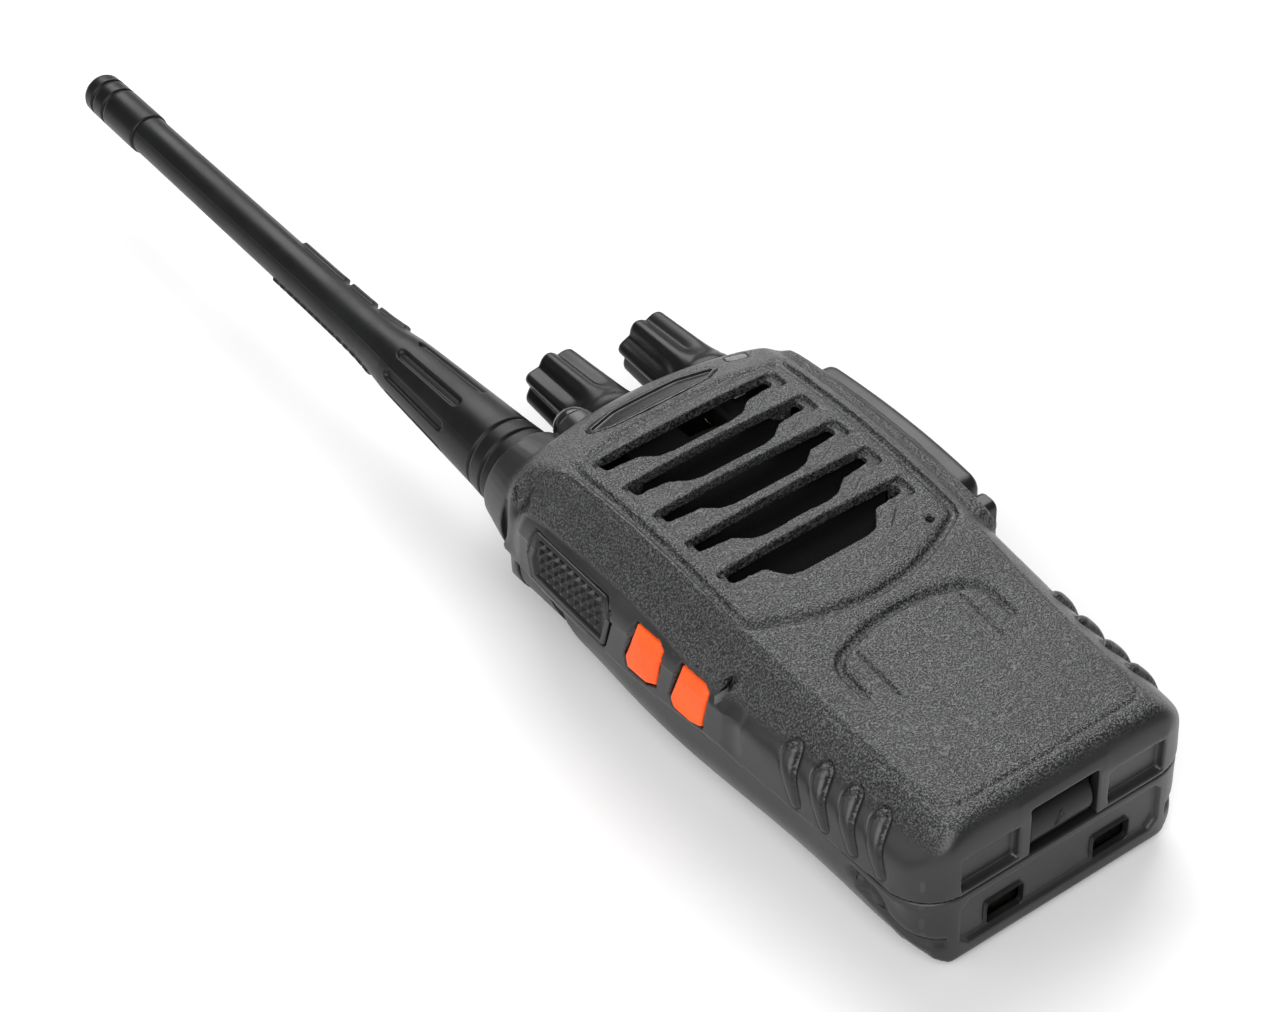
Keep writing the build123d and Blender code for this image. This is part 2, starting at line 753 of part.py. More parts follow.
with BuildPart() as main_board:
    with BuildSketch(Plane.XY.offset(board_z)):
        with BuildLine():
            Polyline(
                (-18.6, 7.6), (18.6, 7.6), (21.4, 33.0), (22.6, 60.0), (22.6, 86.5), (-19.4, 86.5)
            )
            Polyline((-19.4, 86.5), (-19.4, 33.0), (-18.6, 7.6))
        make_face()
        with Locations(*screw_spots):
            Circle(2.7, mode=Mode.SUBTRACT)
        with Locations(*board_screw_spots):
            Circle(0.85, mode=Mode.SUBTRACT)
    extrude(amount=board_thick)
save(main_board.part, "main_board")

with BuildPart() as rf_shield:
    add(block((-10.0, 14.0, board_top), (14.0, 38.0, board_top + 2.6)))
    fillet(rf_shield.edges().filter_by(Axis.Z), 0.8)
    add(block((-9.8, 14.2, board_top - 1), (13.8, 37.8, board_top + 2.4)), mode=Mode.SUBTRACT)
save(rf_shield.part, "rf_shield")

with BuildPart() as board_chips:
    for x, y, wide, deep, tall in [
        (-4.0, 24.0, 7.0, 7.0, 1.0),
        (6.0, 30.0, 5.0, 5.0, 0.9),
        (6.0, 20.0, 4.0, 6.0, 1.2),
        (-15.2, 54.0, 5.0, 6.0, 1.2),
    ]:
        with Locations((x, y, board_top)):
            Box(wide, deep, tall, align=(Align.CENTER, Align.CENTER, Align.MIN))
save(board_chips.part, "board_chips")

with BuildPart() as board_screws:
    with Locations(*[(x, y, board_z - 2.4) for x, y in board_screw_spots]):
        Cylinder(0.75, 4.4, align=(Align.CENTER, Align.CENTER, Align.MIN))
    with Locations(*[(x, y, board_top) for x, y in board_screw_spots]):
        Cylinder(1.7, 0.8, align=(Align.CENTER, Align.CENTER, Align.MIN))
        Cylinder(0.6, 0.9, align=(Align.CENTER, Align.CENTER, Align.MIN), mode=Mode.SUBTRACT)
save(board_screws.part, "board_screws")

with BuildPart() as status_led:
    add(block((15.2, 92.6, 22.4), (17.2, 94.4, 25.3)))
    with Locations((16.2, 93.5, 25.3)):
        Sphere(0.7)
save(status_led.part, "status_led")

# ---- knobs and their controls ---------------------------------------------------------------

control_spots = {"channel": (channel_x, 90.0), "volume": (volume_x, 87.4)}

for name, (x, body_y) in control_spots.items():
    shoulder_y = body_y + 6.5
    knob_base_y = ring_tops[x] + 1.0
    knob_top_y = knob_base_y + knob_height
    shaft_top_y = knob_base_y + 11.0
    bush_top_y = knob_base_y + 1.6
    # cut that leaves a flat on the shaft, which turns the knob with it
    shaft_flat = block((x - 4, shaft_top_y - 6.0, knob_z + 1.5), (x + 4, shaft_top_y + 1, knob_z + 4))
    with BuildPart() as control:
        add(block((x - 5.0, body_y, knob_z - 4.6), (x + 5.0, shoulder_y, knob_z + 5.4)))
        fillet(control.edges().filter_by(Axis.Y), 0.7)
        add(ring(x, knob_z, shoulder_y, bush_top_y, 3.4))
        add(ring(x, knob_z, body_y + 2.5, bush_top_y + 1, shaft_radius + running), mode=Mode.SUBTRACT)
        # solder legs down towards the board
        for leg in (-2.5, 0.0, 2.5):
            low = (x + leg - 0.4, body_y + 1.0, knob_z - 5.6)
            add(block(low, (x + leg + 0.4, body_y + 1.6, knob_z - 4.6)))
    save(control.part, f"{name}_control")

    with BuildPart() as nut:
        with BuildSketch(Plane.XZ.offset(-(ring_tops[x] + 0.02))):
            with Locations((x, knob_z)):
                RegularPolygon(4.7, 6)
                Circle(3.4, mode=Mode.SUBTRACT)
        extrude(amount=-1.6)
    save(nut.part, f"{name}_nut")

    with BuildPart() as shaft:
        add(ring(x, knob_z, body_y + 2.6, shaft_top_y, shaft_radius))
        add(shaft_flat, mode=Mode.SUBTRACT)
    save(shaft.part, f"{name}_shaft")

    with BuildPart() as knob:
        add(ring(x, knob_z, knob_base_y, knob_top_y, knob_radius))
        with BuildSketch(Plane.XZ.offset(-knob_base_y)):
            with Locations((x, knob_z)):
                Circle(knob_radius + 0.4)
        extrude(amount=-knob_height, taper=5.5, mode=Mode.INTERSECT)
        # finger grooves down the skirt
        with BuildSketch(Plane.XZ.offset(-(knob_base_y - 1))):
            with Locations((x, knob_z)):
                with PolarLocations(10.4, 7, start_angle=12):
                    Circle(4.9)
        extrude(amount=-(knob_height + 4), mode=Mode.SUBTRACT)
        fillet(knob.edges().group_by(Axis.Y)[-1], 0.9)
        # socket for the shaft and the hollow of the skirt
        add(ring(x, knob_z, knob_base_y - 1, bush_top_y + 0.6, 5.1), mode=Mode.SUBTRACT)
        with BuildPart(mode=Mode.PRIVATE) as socket:
            add(ring(x, knob_z, bush_top_y, shaft_top_y + 0.1, shaft_radius))
            add(shaft_flat, mode=Mode.SUBTRACT)
        add(socket.part, mode=Mode.SUBTRACT)
    save(knob.part, f"{name}_knob")

with BuildPart() as knob_seals:
    for name, (x, body_y) in control_spots.items():
        add(ring(x, knob_z, body_y + 6.6, body_y + 7.6, 4.0, 3.45))
save(knob_seals.part, "knob_seals")


# ---- side controls --------------------------------------------------------------------------

board_face_x = -21.0
switch_x = board_face_x - 1.6
plunger_x = -23.2

with BuildPart() as side_key_board:
    add(block((board_face_x, 43.0, 19.2), (board_face_x + 0.8, 77.5, 24.4)))
save(side_key_board.part, "side_key_board")

with BuildPart() as side_switches:
    for y, z in stem_spots.values():
        add(block((switch_x, y - 1.4, z - 0.8), (board_face_x, y + 1.4, z + 1.8)))
        add(block((plunger_x, y - 0.7, z - 0.2), (switch_x, y + 0.7, z + 1.2)))
save(side_switches.part, "side_switches")

button_back = shell_form(0.6)

with BuildPart() as ptt_button:
    add(side_prism(ptt_outline(0.0), -28.9, -22))
    add(button_back, mode=Mode.SUBTRACT)
    chamfer(ptt_button.faces().sort_by(Axis.X)[0].edges(), 0.5)
    y, z = stem_spots["ptt"]
    add(block((ptt_wall_x + 0.1, y - 6.0, z - 2.0), (-28.0, y + 6.0, z + 2.0)))
    add(block((ptt_wall_x + 0.1, y - 6.9, z - 2.7), (ptt_wall_x + 0.9, y + 6.9, z + 2.7)))
    add(block((ptt_wall_x + 0.9, y - 1.0, z - 0.4), (plunger_x - ptt_travel - 0.05, y + 1.0, z + 1.4)))
save(ptt_button.part, "ptt_button")

for name, (shift, outer_x) in key_spots.items():
    y, z = stem_spots["lower" if shift else "upper"]
    with BuildPart() as side_key:
        add(side_prism(key_outline(shift, 0.0), outer_x, -22))
        add(button_back, mode=Mode.SUBTRACT)
        chamfer(side_key.faces().sort_by(Axis.X)[0].edges(), 0.4)
        add(block((key_wall_x + 0.1, y - 2.6, z - 1.6), (-28.0, y + 2.6, z + 1.6)))
        add(block((key_wall_x + 0.1, y - 3.6, z - 2.4), (key_wall_x + 0.9, y + 3.6, z + 2.4)))
        nub_x = plunger_x - key_travel - 0.05
        add(block((key_wall_x + 0.9, y - 1.0, z - 0.4), (nub_x, y + 1.0, z + 1.4)))
    save(side_key.part, name)

# ---- accessory jacks and their cover --------------------------------------------------------

jack_bores = {"speaker_jack": 1.8, "mic_jack": 1.3}
for (name, bore), y in zip(jack_bores.items(), jack_ys):
    with BuildPart() as jack:
        add(block((14.6, y - 2.65, board_top), (23.4, y + 2.65, jack_z + 2.3)))
        with Locations((23.4, y, jack_z)):
            Cylinder(2.3, 2.0, rotation=(0, 90, 0), align=(Align.CENTER, Align.CENTER, Align.MIN))
        with Locations((15.6, y, jack_z)):
            Cylinder(
                bore,
                12,
                rotation=(0, 90, 0),
                align=(Align.CENTER, Align.CENTER, Align.MIN),
                mode=Mode.SUBTRACT,
            )
    save(jack.part, name)

recess_x = 27.2
cover_x = 29.4
anchor_x = 28.7
cover_low_y, cover_high_y = cover_y

with BuildPart() as cover_backing:
    add(shell_form(-0.15))
    add(block((recess_x + 0.15, 40, 0), (40, 110, 45)), mode=Mode.SUBTRACT)

with BuildPart() as jack_cover:
    add(side_prism(box_outline(cover_low_y + 0.8, cover_high_y, 16.4, 26.2, 2.2), 23, cover_x))
    fillet(jack_cover.faces().sort_by(Axis.X)[-1].edges(), 1.1)
    add(cover_backing.part, mode=Mode.SUBTRACT)
    for y in jack_ys:
        with Locations((25.5, y, jack_z)):
            Cylinder(1.8, 3.0, rotation=(0, 90, 0), align=(Align.CENTER, Align.CENTER, Align.MIN))
save(jack_cover.part, "jack_cover")

with BuildPart() as cover_anchor:
    add(side_prism(box_outline(cover_low_y - 4.2, cover_low_y - 0.4, 16.4, 25.6, 1.2), 23, anchor_x))
    add(cover_backing.part, mode=Mode.SUBTRACT)
    with Locations((27, cover_low_y - 2.3, 20.6)):
        Cylinder(
            0.9, 4, rotation=(0, 90, 0), align=(Align.CENTER, Align.CENTER, Align.MIN), mode=Mode.SUBTRACT
        )
save(cover_anchor.part, "cover_anchor")

with BuildPart() as cover_screw:
    with Locations((27.4, cover_low_y - 2.3, 20.6)):
        Cylinder(0.85, anchor_x - 27.4, rotation=(0, 90, 0), align=(Align.CENTER, Align.CENTER, Align.MIN))
    with Locations((anchor_x, cover_low_y - 2.3, 20.6)):
        Cylinder(1.5, 0.4, rotation=(0, 90, 0), align=(Align.CENTER, Align.CENTER, Align.MIN))
save(cover_screw.part, "cover_screw")

# ---- battery latch --------------------------------------------------------------------------

spring_xs = (-4.4, 4.4)
spring_low, spring_high = 21.6, 24.7

with BuildPart() as latch_slider:
    add(block((-latch_half, 0.15, 14.4), (latch_half, 2.4, 20.6)))
    fillet(latch_slider.faces().sort_by(Axis.Y)[0].edges(), 0.4)
    add(block((-7.6, 2.35, 15.2), (7.6, 4.9, spring_low)))
    add(block((-4.0, 2.6, 14.2), (4.0, 4.2, 15.3)))
    # arrow that shows which way it pushes
    with BuildSketch(Plane.XZ.offset(-0.3)):
        with BuildLine():
            Polyline((-1.3, 16.9), (1.3, 16.9), (0, 18.6), (-1.3, 16.9))
        make_face()
    extrude(amount=0.4)
save(latch_slider.part, "latch_slider")

with BuildPart() as latch_springs:
    for x in spring_xs:
        foot = (x, 3.75, spring_low + 0.15)
        coil = Helix(pitch=0.9, height=spring_high - spring_low - 0.3, radius=0.9, center=foot)
        with BuildSketch(Plane(origin=coil @ 0, z_dir=coil % 0)):
            Circle(0.15)
        sweep(path=coil)
save(latch_springs.part, "latch_springs")

# ---- battery pack ---------------------------------------------------------------------------

battery_top_z = 14.0
battery_stations = [  # distance up the body, half width
    (0.0, 24.9),
    (14.0, 25.5),
    (24.0, 25.5),
    (34.0, 25.9),
    (51.0, 26.9),
    (90.0, 27.4),
]
battery_radius = 10.6  # of its two long rear corners
base_round = 2.6  # rear edge of the base


def battery_form(inset, top_z):
    """The battery's outer form with every side but the top drawn in by inset."""
    with BuildPart() as form:
        turn = battery_radius - 0.5 * inset
        bend = turn * (1 - cos(radians(45)))
        low = inset - 0.05
        for y, half in battery_stations:
            side = half - inset
            with BuildSketch(Plane.XZ.offset(-y)):
                with BuildLine():
                    Polyline((-side, low + turn), (-side, top_z), (side, top_z), (side, low + turn))
                    ThreePointArc((side, low + turn), (side - bend, low + bend), (side - turn, low))
                    Line((side - turn, low), (-side + turn, low))
                    ThreePointArc((-side + turn, low), (-side + bend, low + bend), (-side, low + turn))
                make_face()
        loft(ruled=False)
        # the back is cut truly flat
        add(block((-40, -10, -5), (40, 120, inset)), mode=Mode.SUBTRACT)
        add(plan_form(inset + 0.1, inset - 1), mode=Mode.INTERSECT)
        end = battery_top_y - inset
        with BuildSketch(Plane.YZ.offset(-35)):
            with BuildLine():
                Polyline(
                    (end, battery_top_z),
                    (end + 0.6, battery_top_z + 1),
                    (110, battery_top_z + 1),
                    (110, -3),
                    (end - battery_slant * (battery_top_z + 3), -3),
                    (end, battery_top_z),
                )
            make_face()
            with BuildLine():
                round_end = base_round + inset
                lean = base_round * (1 - cos(radians(45))) + inset
                ThreePointArc((inset, round_end), (lean, lean), (round_end, inset))
                Polyline((round_end, inset), (round_end, -3), (-1, -3), (-1, round_end), (inset, round_end))
            make_face()
        extrude(amount=70, mode=Mode.SUBTRACT)
    return form.part


insert_xs = (-10.0, 10.0)
insert_y = 67.5

with BuildPart() as battery_case:
    add(battery_form(0.0, battery_top_z))
    add(battery_form(battery_wall, battery_top_z + 2), mode=Mode.SUBTRACT)
    # pillars under the lid, bosses round the clip inserts
    with Locations(*[(x, y, 1) for x in (-20.6, 20.6) for y in (8.6, 50.0)]):
        Cylinder(1.6, lid_z - 1, align=(Align.CENTER, Align.CENTER, Align.MIN))
    with Locations(*[(x, insert_y, 1) for x in insert_xs]):
        Cylinder(3.4, 6.2, align=(Align.CENTER, Align.CENTER, Align.MIN))
    with Locations(*[(x, insert_y, -1) for x in insert_xs]):
        Cylinder(2.0, 7.2, align=(Align.CENTER, Align.CENTER, Align.MIN), mode=Mode.SUBTRACT)
    for side in (-1, 1):
        # charging windows in the base, finger recess on each side, shallow rim on the base
        window_x = min(side * 6.3, side * 13.1)
        add(block((window_x, -1, 4.5), (window_x + 6.8, 2.4, 8.7)), mode=Mode.SUBTRACT)
        grip_x = side * 26.6
        add(block((grip_x - 1.9, -1, 9.2), (grip_x + 1.9, 13.6, 12.8)), mode=Mode.SUBTRACT)
save(battery_case.part, "battery_case")

contact_xs = (-5.4, -1.8, 1.8, 5.4)

with BuildPart() as battery_lid:
    add(battery_form(battery_wall + 0.1, battery_top_z))
    add(block((-40, -10, -5), (40, 120, lid_z)), mode=Mode.SUBTRACT)
    for side in (-1, 1):
        for y in hook_ys:
            # keyhole: a wide mouth for the hook, then a neck that it slides into
            foot_x = side * 19.3
            add(block((foot_x - 2.4, y + 15.0, 10), (foot_x + 2.4, y + 25.6, 16)), mode=Mode.SUBTRACT)
            add(block((side * 20.0 - 1.5, y - 0.4, 10), (side * 20.0 + 1.5, y + 25, 16)), mode=Mode.SUBTRACT)
            add(block((foot_x - 2.4, y - 0.4, 10), (foot_x + 2.4, y + 25, 13.3)), mode=Mode.SUBTRACT)
    for x in contact_xs:
        add(block((x - 1.15, 45.2, 13.7), (x + 1.15, 49.8, 16)), mode=Mode.SUBTRACT)
save(battery_lid.part, "battery_lid")

with BuildPart() as battery_contacts:
    for x in contact_xs:
        add(block((x - 1.1, 45.25, 13.7), (x + 1.1, 49.75, battery_top_z)))
save(battery_contacts.part, "battery_contacts")

with BuildPart() as radio_contacts:
    for x in contact_xs:
        with BuildSketch(Plane.YZ.offset(x - 0.6)):
            with BuildLine():
                Polyline((49.8, 17.45), (45.4, 17.45), (47.2, 14.3), (48.2, 14.3))
            trace(line_width=0.3)
        extrude(amount=1.2)
save(radio_contacts.part, "radio_contacts")

with BuildPart() as battery_cell:
    add(block((-17.0, 14.0, 2.2), (17.0, 62.0, 11.8)))
    fillet(battery_cell.edges().filter_by(Axis.Y), 2.4)
    fillet(battery_cell.faces().sort_by(Axis.Y)[0].edges(), 0.5)
save(battery_cell.part, "battery_cell")

with BuildPart() as protection_board:
    add(block((-14.0, 4.4, 9.6), (14.0, 12.6, 10.4)))
    for x in (-8.0, 0.0, 8.0):
        add(block((x - 1.6, 6.6, 8.6), (x + 1.6, 9.6, 9.6)))
save(protection_board.part, "protection_board")

with BuildPart() as cell_tabs:
    for x in (-9.0, 9.0):
        add(block((x - 2.0, 10.0, 10.4), (x + 2.0, 13.95, 10.6)))
        add(block((x - 2.0, 13.75, 7.0), (x + 2.0, 13.95, 10.6)))
save(cell_tabs.part, "cell_tabs")

with BuildPart() as charge_contacts:
    for side in (-1, 1):
        plate_x = min(side * 6.0, side * 13.4)
        add(block((plate_x, 2.45, 3.6), (plate_x + 7.4, 2.85, 9.5)))
save(charge_contacts.part, "charge_contacts")

with BuildPart() as belt_clip_inserts:
    with Locations(*[(x, insert_y, 0.3) for x in insert_xs]):
        Cylinder(2.0, 5.6, align=(Align.CENTER, Align.CENTER, Align.MIN))
        Cylinder(1.25, 5.6, align=(Align.CENTER, Align.CENTER, Align.MIN), mode=Mode.SUBTRACT)
save(belt_clip_inserts.part, "belt_clip_inserts")

# ---- antenna --------------------------------------------------------------------------------

sheath_profile = [
    (103.6, 6.9),
    (105.9, 6.85),
    (106.2, 6.45),
    (106.5, 6.8),
    (109.2, 6.6),
    (109.5, 6.2),
    (109.8, 6.5),
    (116.0, 6.1),
    (125.0, 5.55),
    (134.0, 5.0),
    (137.0, 4.8),
    (139.0, 4.4),
    (143.0, 4.2),
    (146.0, 3.9),
    (152.0, 3.72),
    (170.0, 3.6),
    (214.4, 3.4),
]

with BuildPart() as antenna_socket:
    add(ring(antenna_x, antenna_z, 91.4, 104.6, 3.17))
    add(ring(antenna_x, antenna_z, 94.2, 95.2, 4.4))
    with BuildSketch(Plane.XZ.offset(-(well_y + 0.02))):
        with Locations((antenna_x, antenna_z)):
            RegularPolygon(5.2, 6)
    extrude(amount=-1.4)
    add(ring(antenna_x, antenna_z, 100.6, 105, 0.65), mode=Mode.SUBTRACT)
save(antenna_socket.part, "antenna_socket")

with BuildPart() as antenna_plug:
    add(ring(antenna_x, antenna_z, 101.6, 110.0, 4.6, 3.25))
    add(ring(antenna_x, antenna_z, 105.4, 110.0, 3.4))
    add(ring(antenna_x, antenna_z, 102.2, 105.6, 0.45))
save(antenna_plug.part, "antenna_plug")


def turned(profile):
    """A solid turned about the antenna's axis from (distance up, radius) pairs."""
    with BuildPart() as solid:
        with BuildSketch(Plane.XY):
            with BuildLine():
                points = [(radius, y) for y, radius in profile]
                Polyline((0, profile[0][0]), *points, (0, profile[-1][0]), close=True)
            make_face()
        revolve(axis=Axis.Y)
    return Pos(antenna_x, 0, antenna_z) * solid.part


with BuildPart() as antenna_sheath:
    add(turned([(100.0, 6.3), (103.0, 6.3)] + sheath_profile + [(214.4, 2.6), (220.0, 2.6)]))
    # long recessed slots round the tapered foot
    with BuildPart(mode=Mode.PRIVATE) as slots:
        with BuildSketch(Plane.XY.offset(0)):
            SlotOverall(18.0, 1.5, rotation=90)
        extrude(amount=9)
    with BuildPart(mode=Mode.PRIVATE) as slot_floor:
        add(turned([(y, radius - 0.55) for y, radius in sheath_profile]))
    with BuildPart(mode=Mode.PRIVATE) as slot_ring:
        for turn in range(8):
            add(Pos(antenna_x, 126.0, antenna_z) * Rot(0, 45 * turn + 10, 0) * slots.part)
        add(slot_floor.part, mode=Mode.SUBTRACT)
    add(slot_ring.part, mode=Mode.SUBTRACT)
    # bores for the plug, the coil and the whip
    add(ring(antenna_x, antenna_z, 99.0, 101.6, 5.4), mode=Mode.SUBTRACT)
    add(ring(antenna_x, antenna_z, 101.0, 110.0, 4.6), mode=Mode.SUBTRACT)
    add(ring(antenna_x, antenna_z, 109.0, 139.0, 3.3), mode=Mode.SUBTRACT)
    add(ring(antenna_x, antenna_z, 138.0, 217.0, 1.0), mode=Mode.SUBTRACT)
save(antenna_sheath.part, "antenna_sheath")

with BuildPart() as antenna_coil:
    winding = Helix(pitch=2.4, height=26.0, radius=2.6, center=(0, 0, 0))
    with BuildSketch(Plane(origin=winding @ 0, z_dir=winding % 0)):
        Circle(0.35)
    sweep(path=winding)
save(Pos(antenna_x, 111.0, antenna_z) * Rot(-90, 0, 0) * antenna_coil.part, "antenna_coil")

with BuildPart() as antenna_whip:
    add(ring(antenna_x, antenna_z, 110.0, 216.0, 0.9))
save(antenna_whip.part, "antenna_whip")

with BuildPart() as antenna_tip_cap:
    add(
        turned(
            [
                (cap_y, 3.55),
                (cap_y + 0.3, 3.68),
                (224.0, 3.68),
                (224.1, 3.3),
                (224.6, 3.3),
                (224.7, 3.66),
                (227.5, 3.6),
                (227.6, 3.2),
                (228.1, 3.2),
                (228.2, 3.6),
                (230.2, 3.5),
                (230.8, 3.1),
                (antenna_tip_y, 2.2),
            ]
        )
    )
    add(ring(antenna_x, antenna_z, cap_y - 1, 220.2, 2.6), mode=Mode.SUBTRACT)
save(antenna_tip_cap.part, "antenna_tip_cap")
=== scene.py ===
"""Looks of the two-way radio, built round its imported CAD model. Metres, in the CAD's frame."""

import json
from math import cos, pi, radians, sin

import bmesh
import bpy
import numpy as np
from mathutils import Euler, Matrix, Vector


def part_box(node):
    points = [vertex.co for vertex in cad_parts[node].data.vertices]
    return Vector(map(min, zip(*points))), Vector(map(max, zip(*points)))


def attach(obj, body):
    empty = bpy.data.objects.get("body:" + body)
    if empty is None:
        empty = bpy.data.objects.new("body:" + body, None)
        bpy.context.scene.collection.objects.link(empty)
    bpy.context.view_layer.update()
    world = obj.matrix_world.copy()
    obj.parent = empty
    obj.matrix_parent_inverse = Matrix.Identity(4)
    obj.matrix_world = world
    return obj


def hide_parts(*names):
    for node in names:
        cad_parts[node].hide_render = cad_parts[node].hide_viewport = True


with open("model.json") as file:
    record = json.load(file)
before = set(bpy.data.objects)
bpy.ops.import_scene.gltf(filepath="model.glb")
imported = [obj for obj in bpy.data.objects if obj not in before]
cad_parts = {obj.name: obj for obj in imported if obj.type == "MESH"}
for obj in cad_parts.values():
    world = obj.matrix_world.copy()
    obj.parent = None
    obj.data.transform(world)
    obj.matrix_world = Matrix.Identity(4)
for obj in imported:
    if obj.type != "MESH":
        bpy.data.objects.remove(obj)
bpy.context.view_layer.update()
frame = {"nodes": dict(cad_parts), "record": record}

MM = 0.001
BASE = np.array([0.0, 38.0, 0.0])  # the shapes below count Y from the radio's base, in mm
ANTENNA_X, ANTENNA_Z = -16.6, 16.7  # axis of the antenna, in mm
KNOB_Z = 16.5  # height of both knobs' axes
nodes = frame["nodes"]
scene = bpy.context.scene


# ---- small helpers ------------------------------------------------------------------------


def smoothstep(value, low, high):
    """0 below low, 1 above high and an even blend between."""
    t = np.clip((value - low) / (high - low), 0.0, 1.0)
    return t * t * (3 - 2 * t)


def ridge(distance, width):
    """1 on a line, fading away over about width on both sides of it."""
    return np.exp(-((distance / width) ** 2))


def mirrored(half):
    """A path that is the same on both sides, from its left half, which ends on the middle line."""
    return half + [(-x, y) for x, y in reversed(half[:-1])]


def link(obj):
    scene.collection.objects.link(obj)
    return obj


def read_points(mesh):
    """A mesh's points in millimetres, with Y counted from the radio's base."""
    points = np.empty(len(mesh.vertices) * 3)
    mesh.vertices.foreach_get("co", points)
    return points.reshape(-1, 3) / MM + BASE


def read_normals(mesh):
    normals = np.empty(len(mesh.vertices) * 3)
    mesh.vertex_normals.foreach_get("vector", normals)
    return normals.reshape(-1, 3)


def write_points(mesh, points):
    mesh.vertices.foreach_set("co", ((points - BASE) * MM).ravel())
    mesh.update()


def smooth_shade(mesh):
    mesh.polygons.foreach_set("use_smooth", [True] * len(mesh.polygons))
    mesh.update()


def moulded(node, voxel, rounds, material, shape=None):
    """A CAD node's shape with softly rounded, evenly meshed edges, that stands for the node.

    voxel is the mesh size in mm, rounds the smoothing steps, and shape(mesh, points, normals)
    may move the points to add relief.
    """
    rough = link(bpy.data.objects.new(node + "_rough", nodes[node].data.copy()))
    remesh = rough.modifiers.new("even", "REMESH")
    remesh.mode = "VOXEL"
    remesh.voxel_size = voxel * MM
    soften = rough.modifiers.new("soft", "SMOOTH")
    soften.factor = 0.5
    soften.iterations = rounds
    graph = bpy.context.evaluated_depsgraph_get()
    mesh = bpy.data.meshes.new_from_object(rough.evaluated_get(graph))
    bpy.data.objects.remove(rough)
    mesh.name = node + "_moulded"
    mesh.materials.clear()
    if shape:
        write_points(mesh, shape(mesh, read_points(mesh), read_normals(mesh)))
    smooth_shade(mesh)
    stand_for(link(bpy.data.objects.new(node + "_moulded", mesh)), node)
    mesh.materials.append(MATERIALS[material])


def stand_for(piece, node):
    """Show a piece in place of a CAD node, moving with the node's body."""
    body = next(name for name, names in frame["record"]["behaviour"]["bodies"].items() if node in names)
    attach(piece, body)
    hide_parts(node)


def edge_distance(points, corners):
    """How far points lie inside a convex outline, whose corners run either way round."""
    corners = np.array(corners, float)
    middle = corners.mean(axis=0)
    nearest = np.full(len(points), 1e9)
    for a, b in zip(corners, np.roll(corners, -1, axis=0)):
        along = (b - a) / np.linalg.norm(b - a)
        inward = np.array([-along[1], along[0]])
        if np.dot(middle - a, inward) < 0:
            inward = -inward
        nearest = np.minimum(nearest, (points - a) @ inward)
    return nearest


def path_distance(points, path):
    """Distance of points from a line through the path's corners."""
    nearest = np.full(len(points), 1e9)
    path = np.array(path, float)
    for a, b in zip(path, path[1:]):
        step = b - a
        t = np.clip(((points - a) @ step) / (step @ step), 0, 1)
        nearest = np.minimum(nearest, np.linalg.norm(points - (a + t[:, None] * step), axis=1))
    return nearest


def relax(mesh, points, weight, rounds):
    """Round edges off where weight is above 0, by moving points towards their neighbours."""
    edges = np.empty(len(mesh.edges) * 2, int)
    mesh.edges.foreach_get("vertices", edges)
    edges = edges.reshape(-1, 2)
    edges = edges[(weight[edges] > 0.01).any(axis=1)]
    used, local = np.unique(edges, return_inverse=True)
    local = local.reshape(-1, 2)
    start = np.concatenate([local[:, 0], local[:, 1]])
    end = np.concatenate([local[:, 1], local[:, 0]])
    count = np.bincount(start, minlength=len(used))
    moved = points[used]
    pull = (0.7 * weight[used])[:, None]
    for _ in range(rounds):
        total = np.stack(
            [np.bincount(start, weights=moved[end, k], minlength=len(used)) for k in range(3)], axis=1
        )
        moved = moved + (total / count[:, None] - moved) * pull
    points = points.copy()
    points[used] = moved
    return points


# ---- materials ----------------------------------------------------------------------------


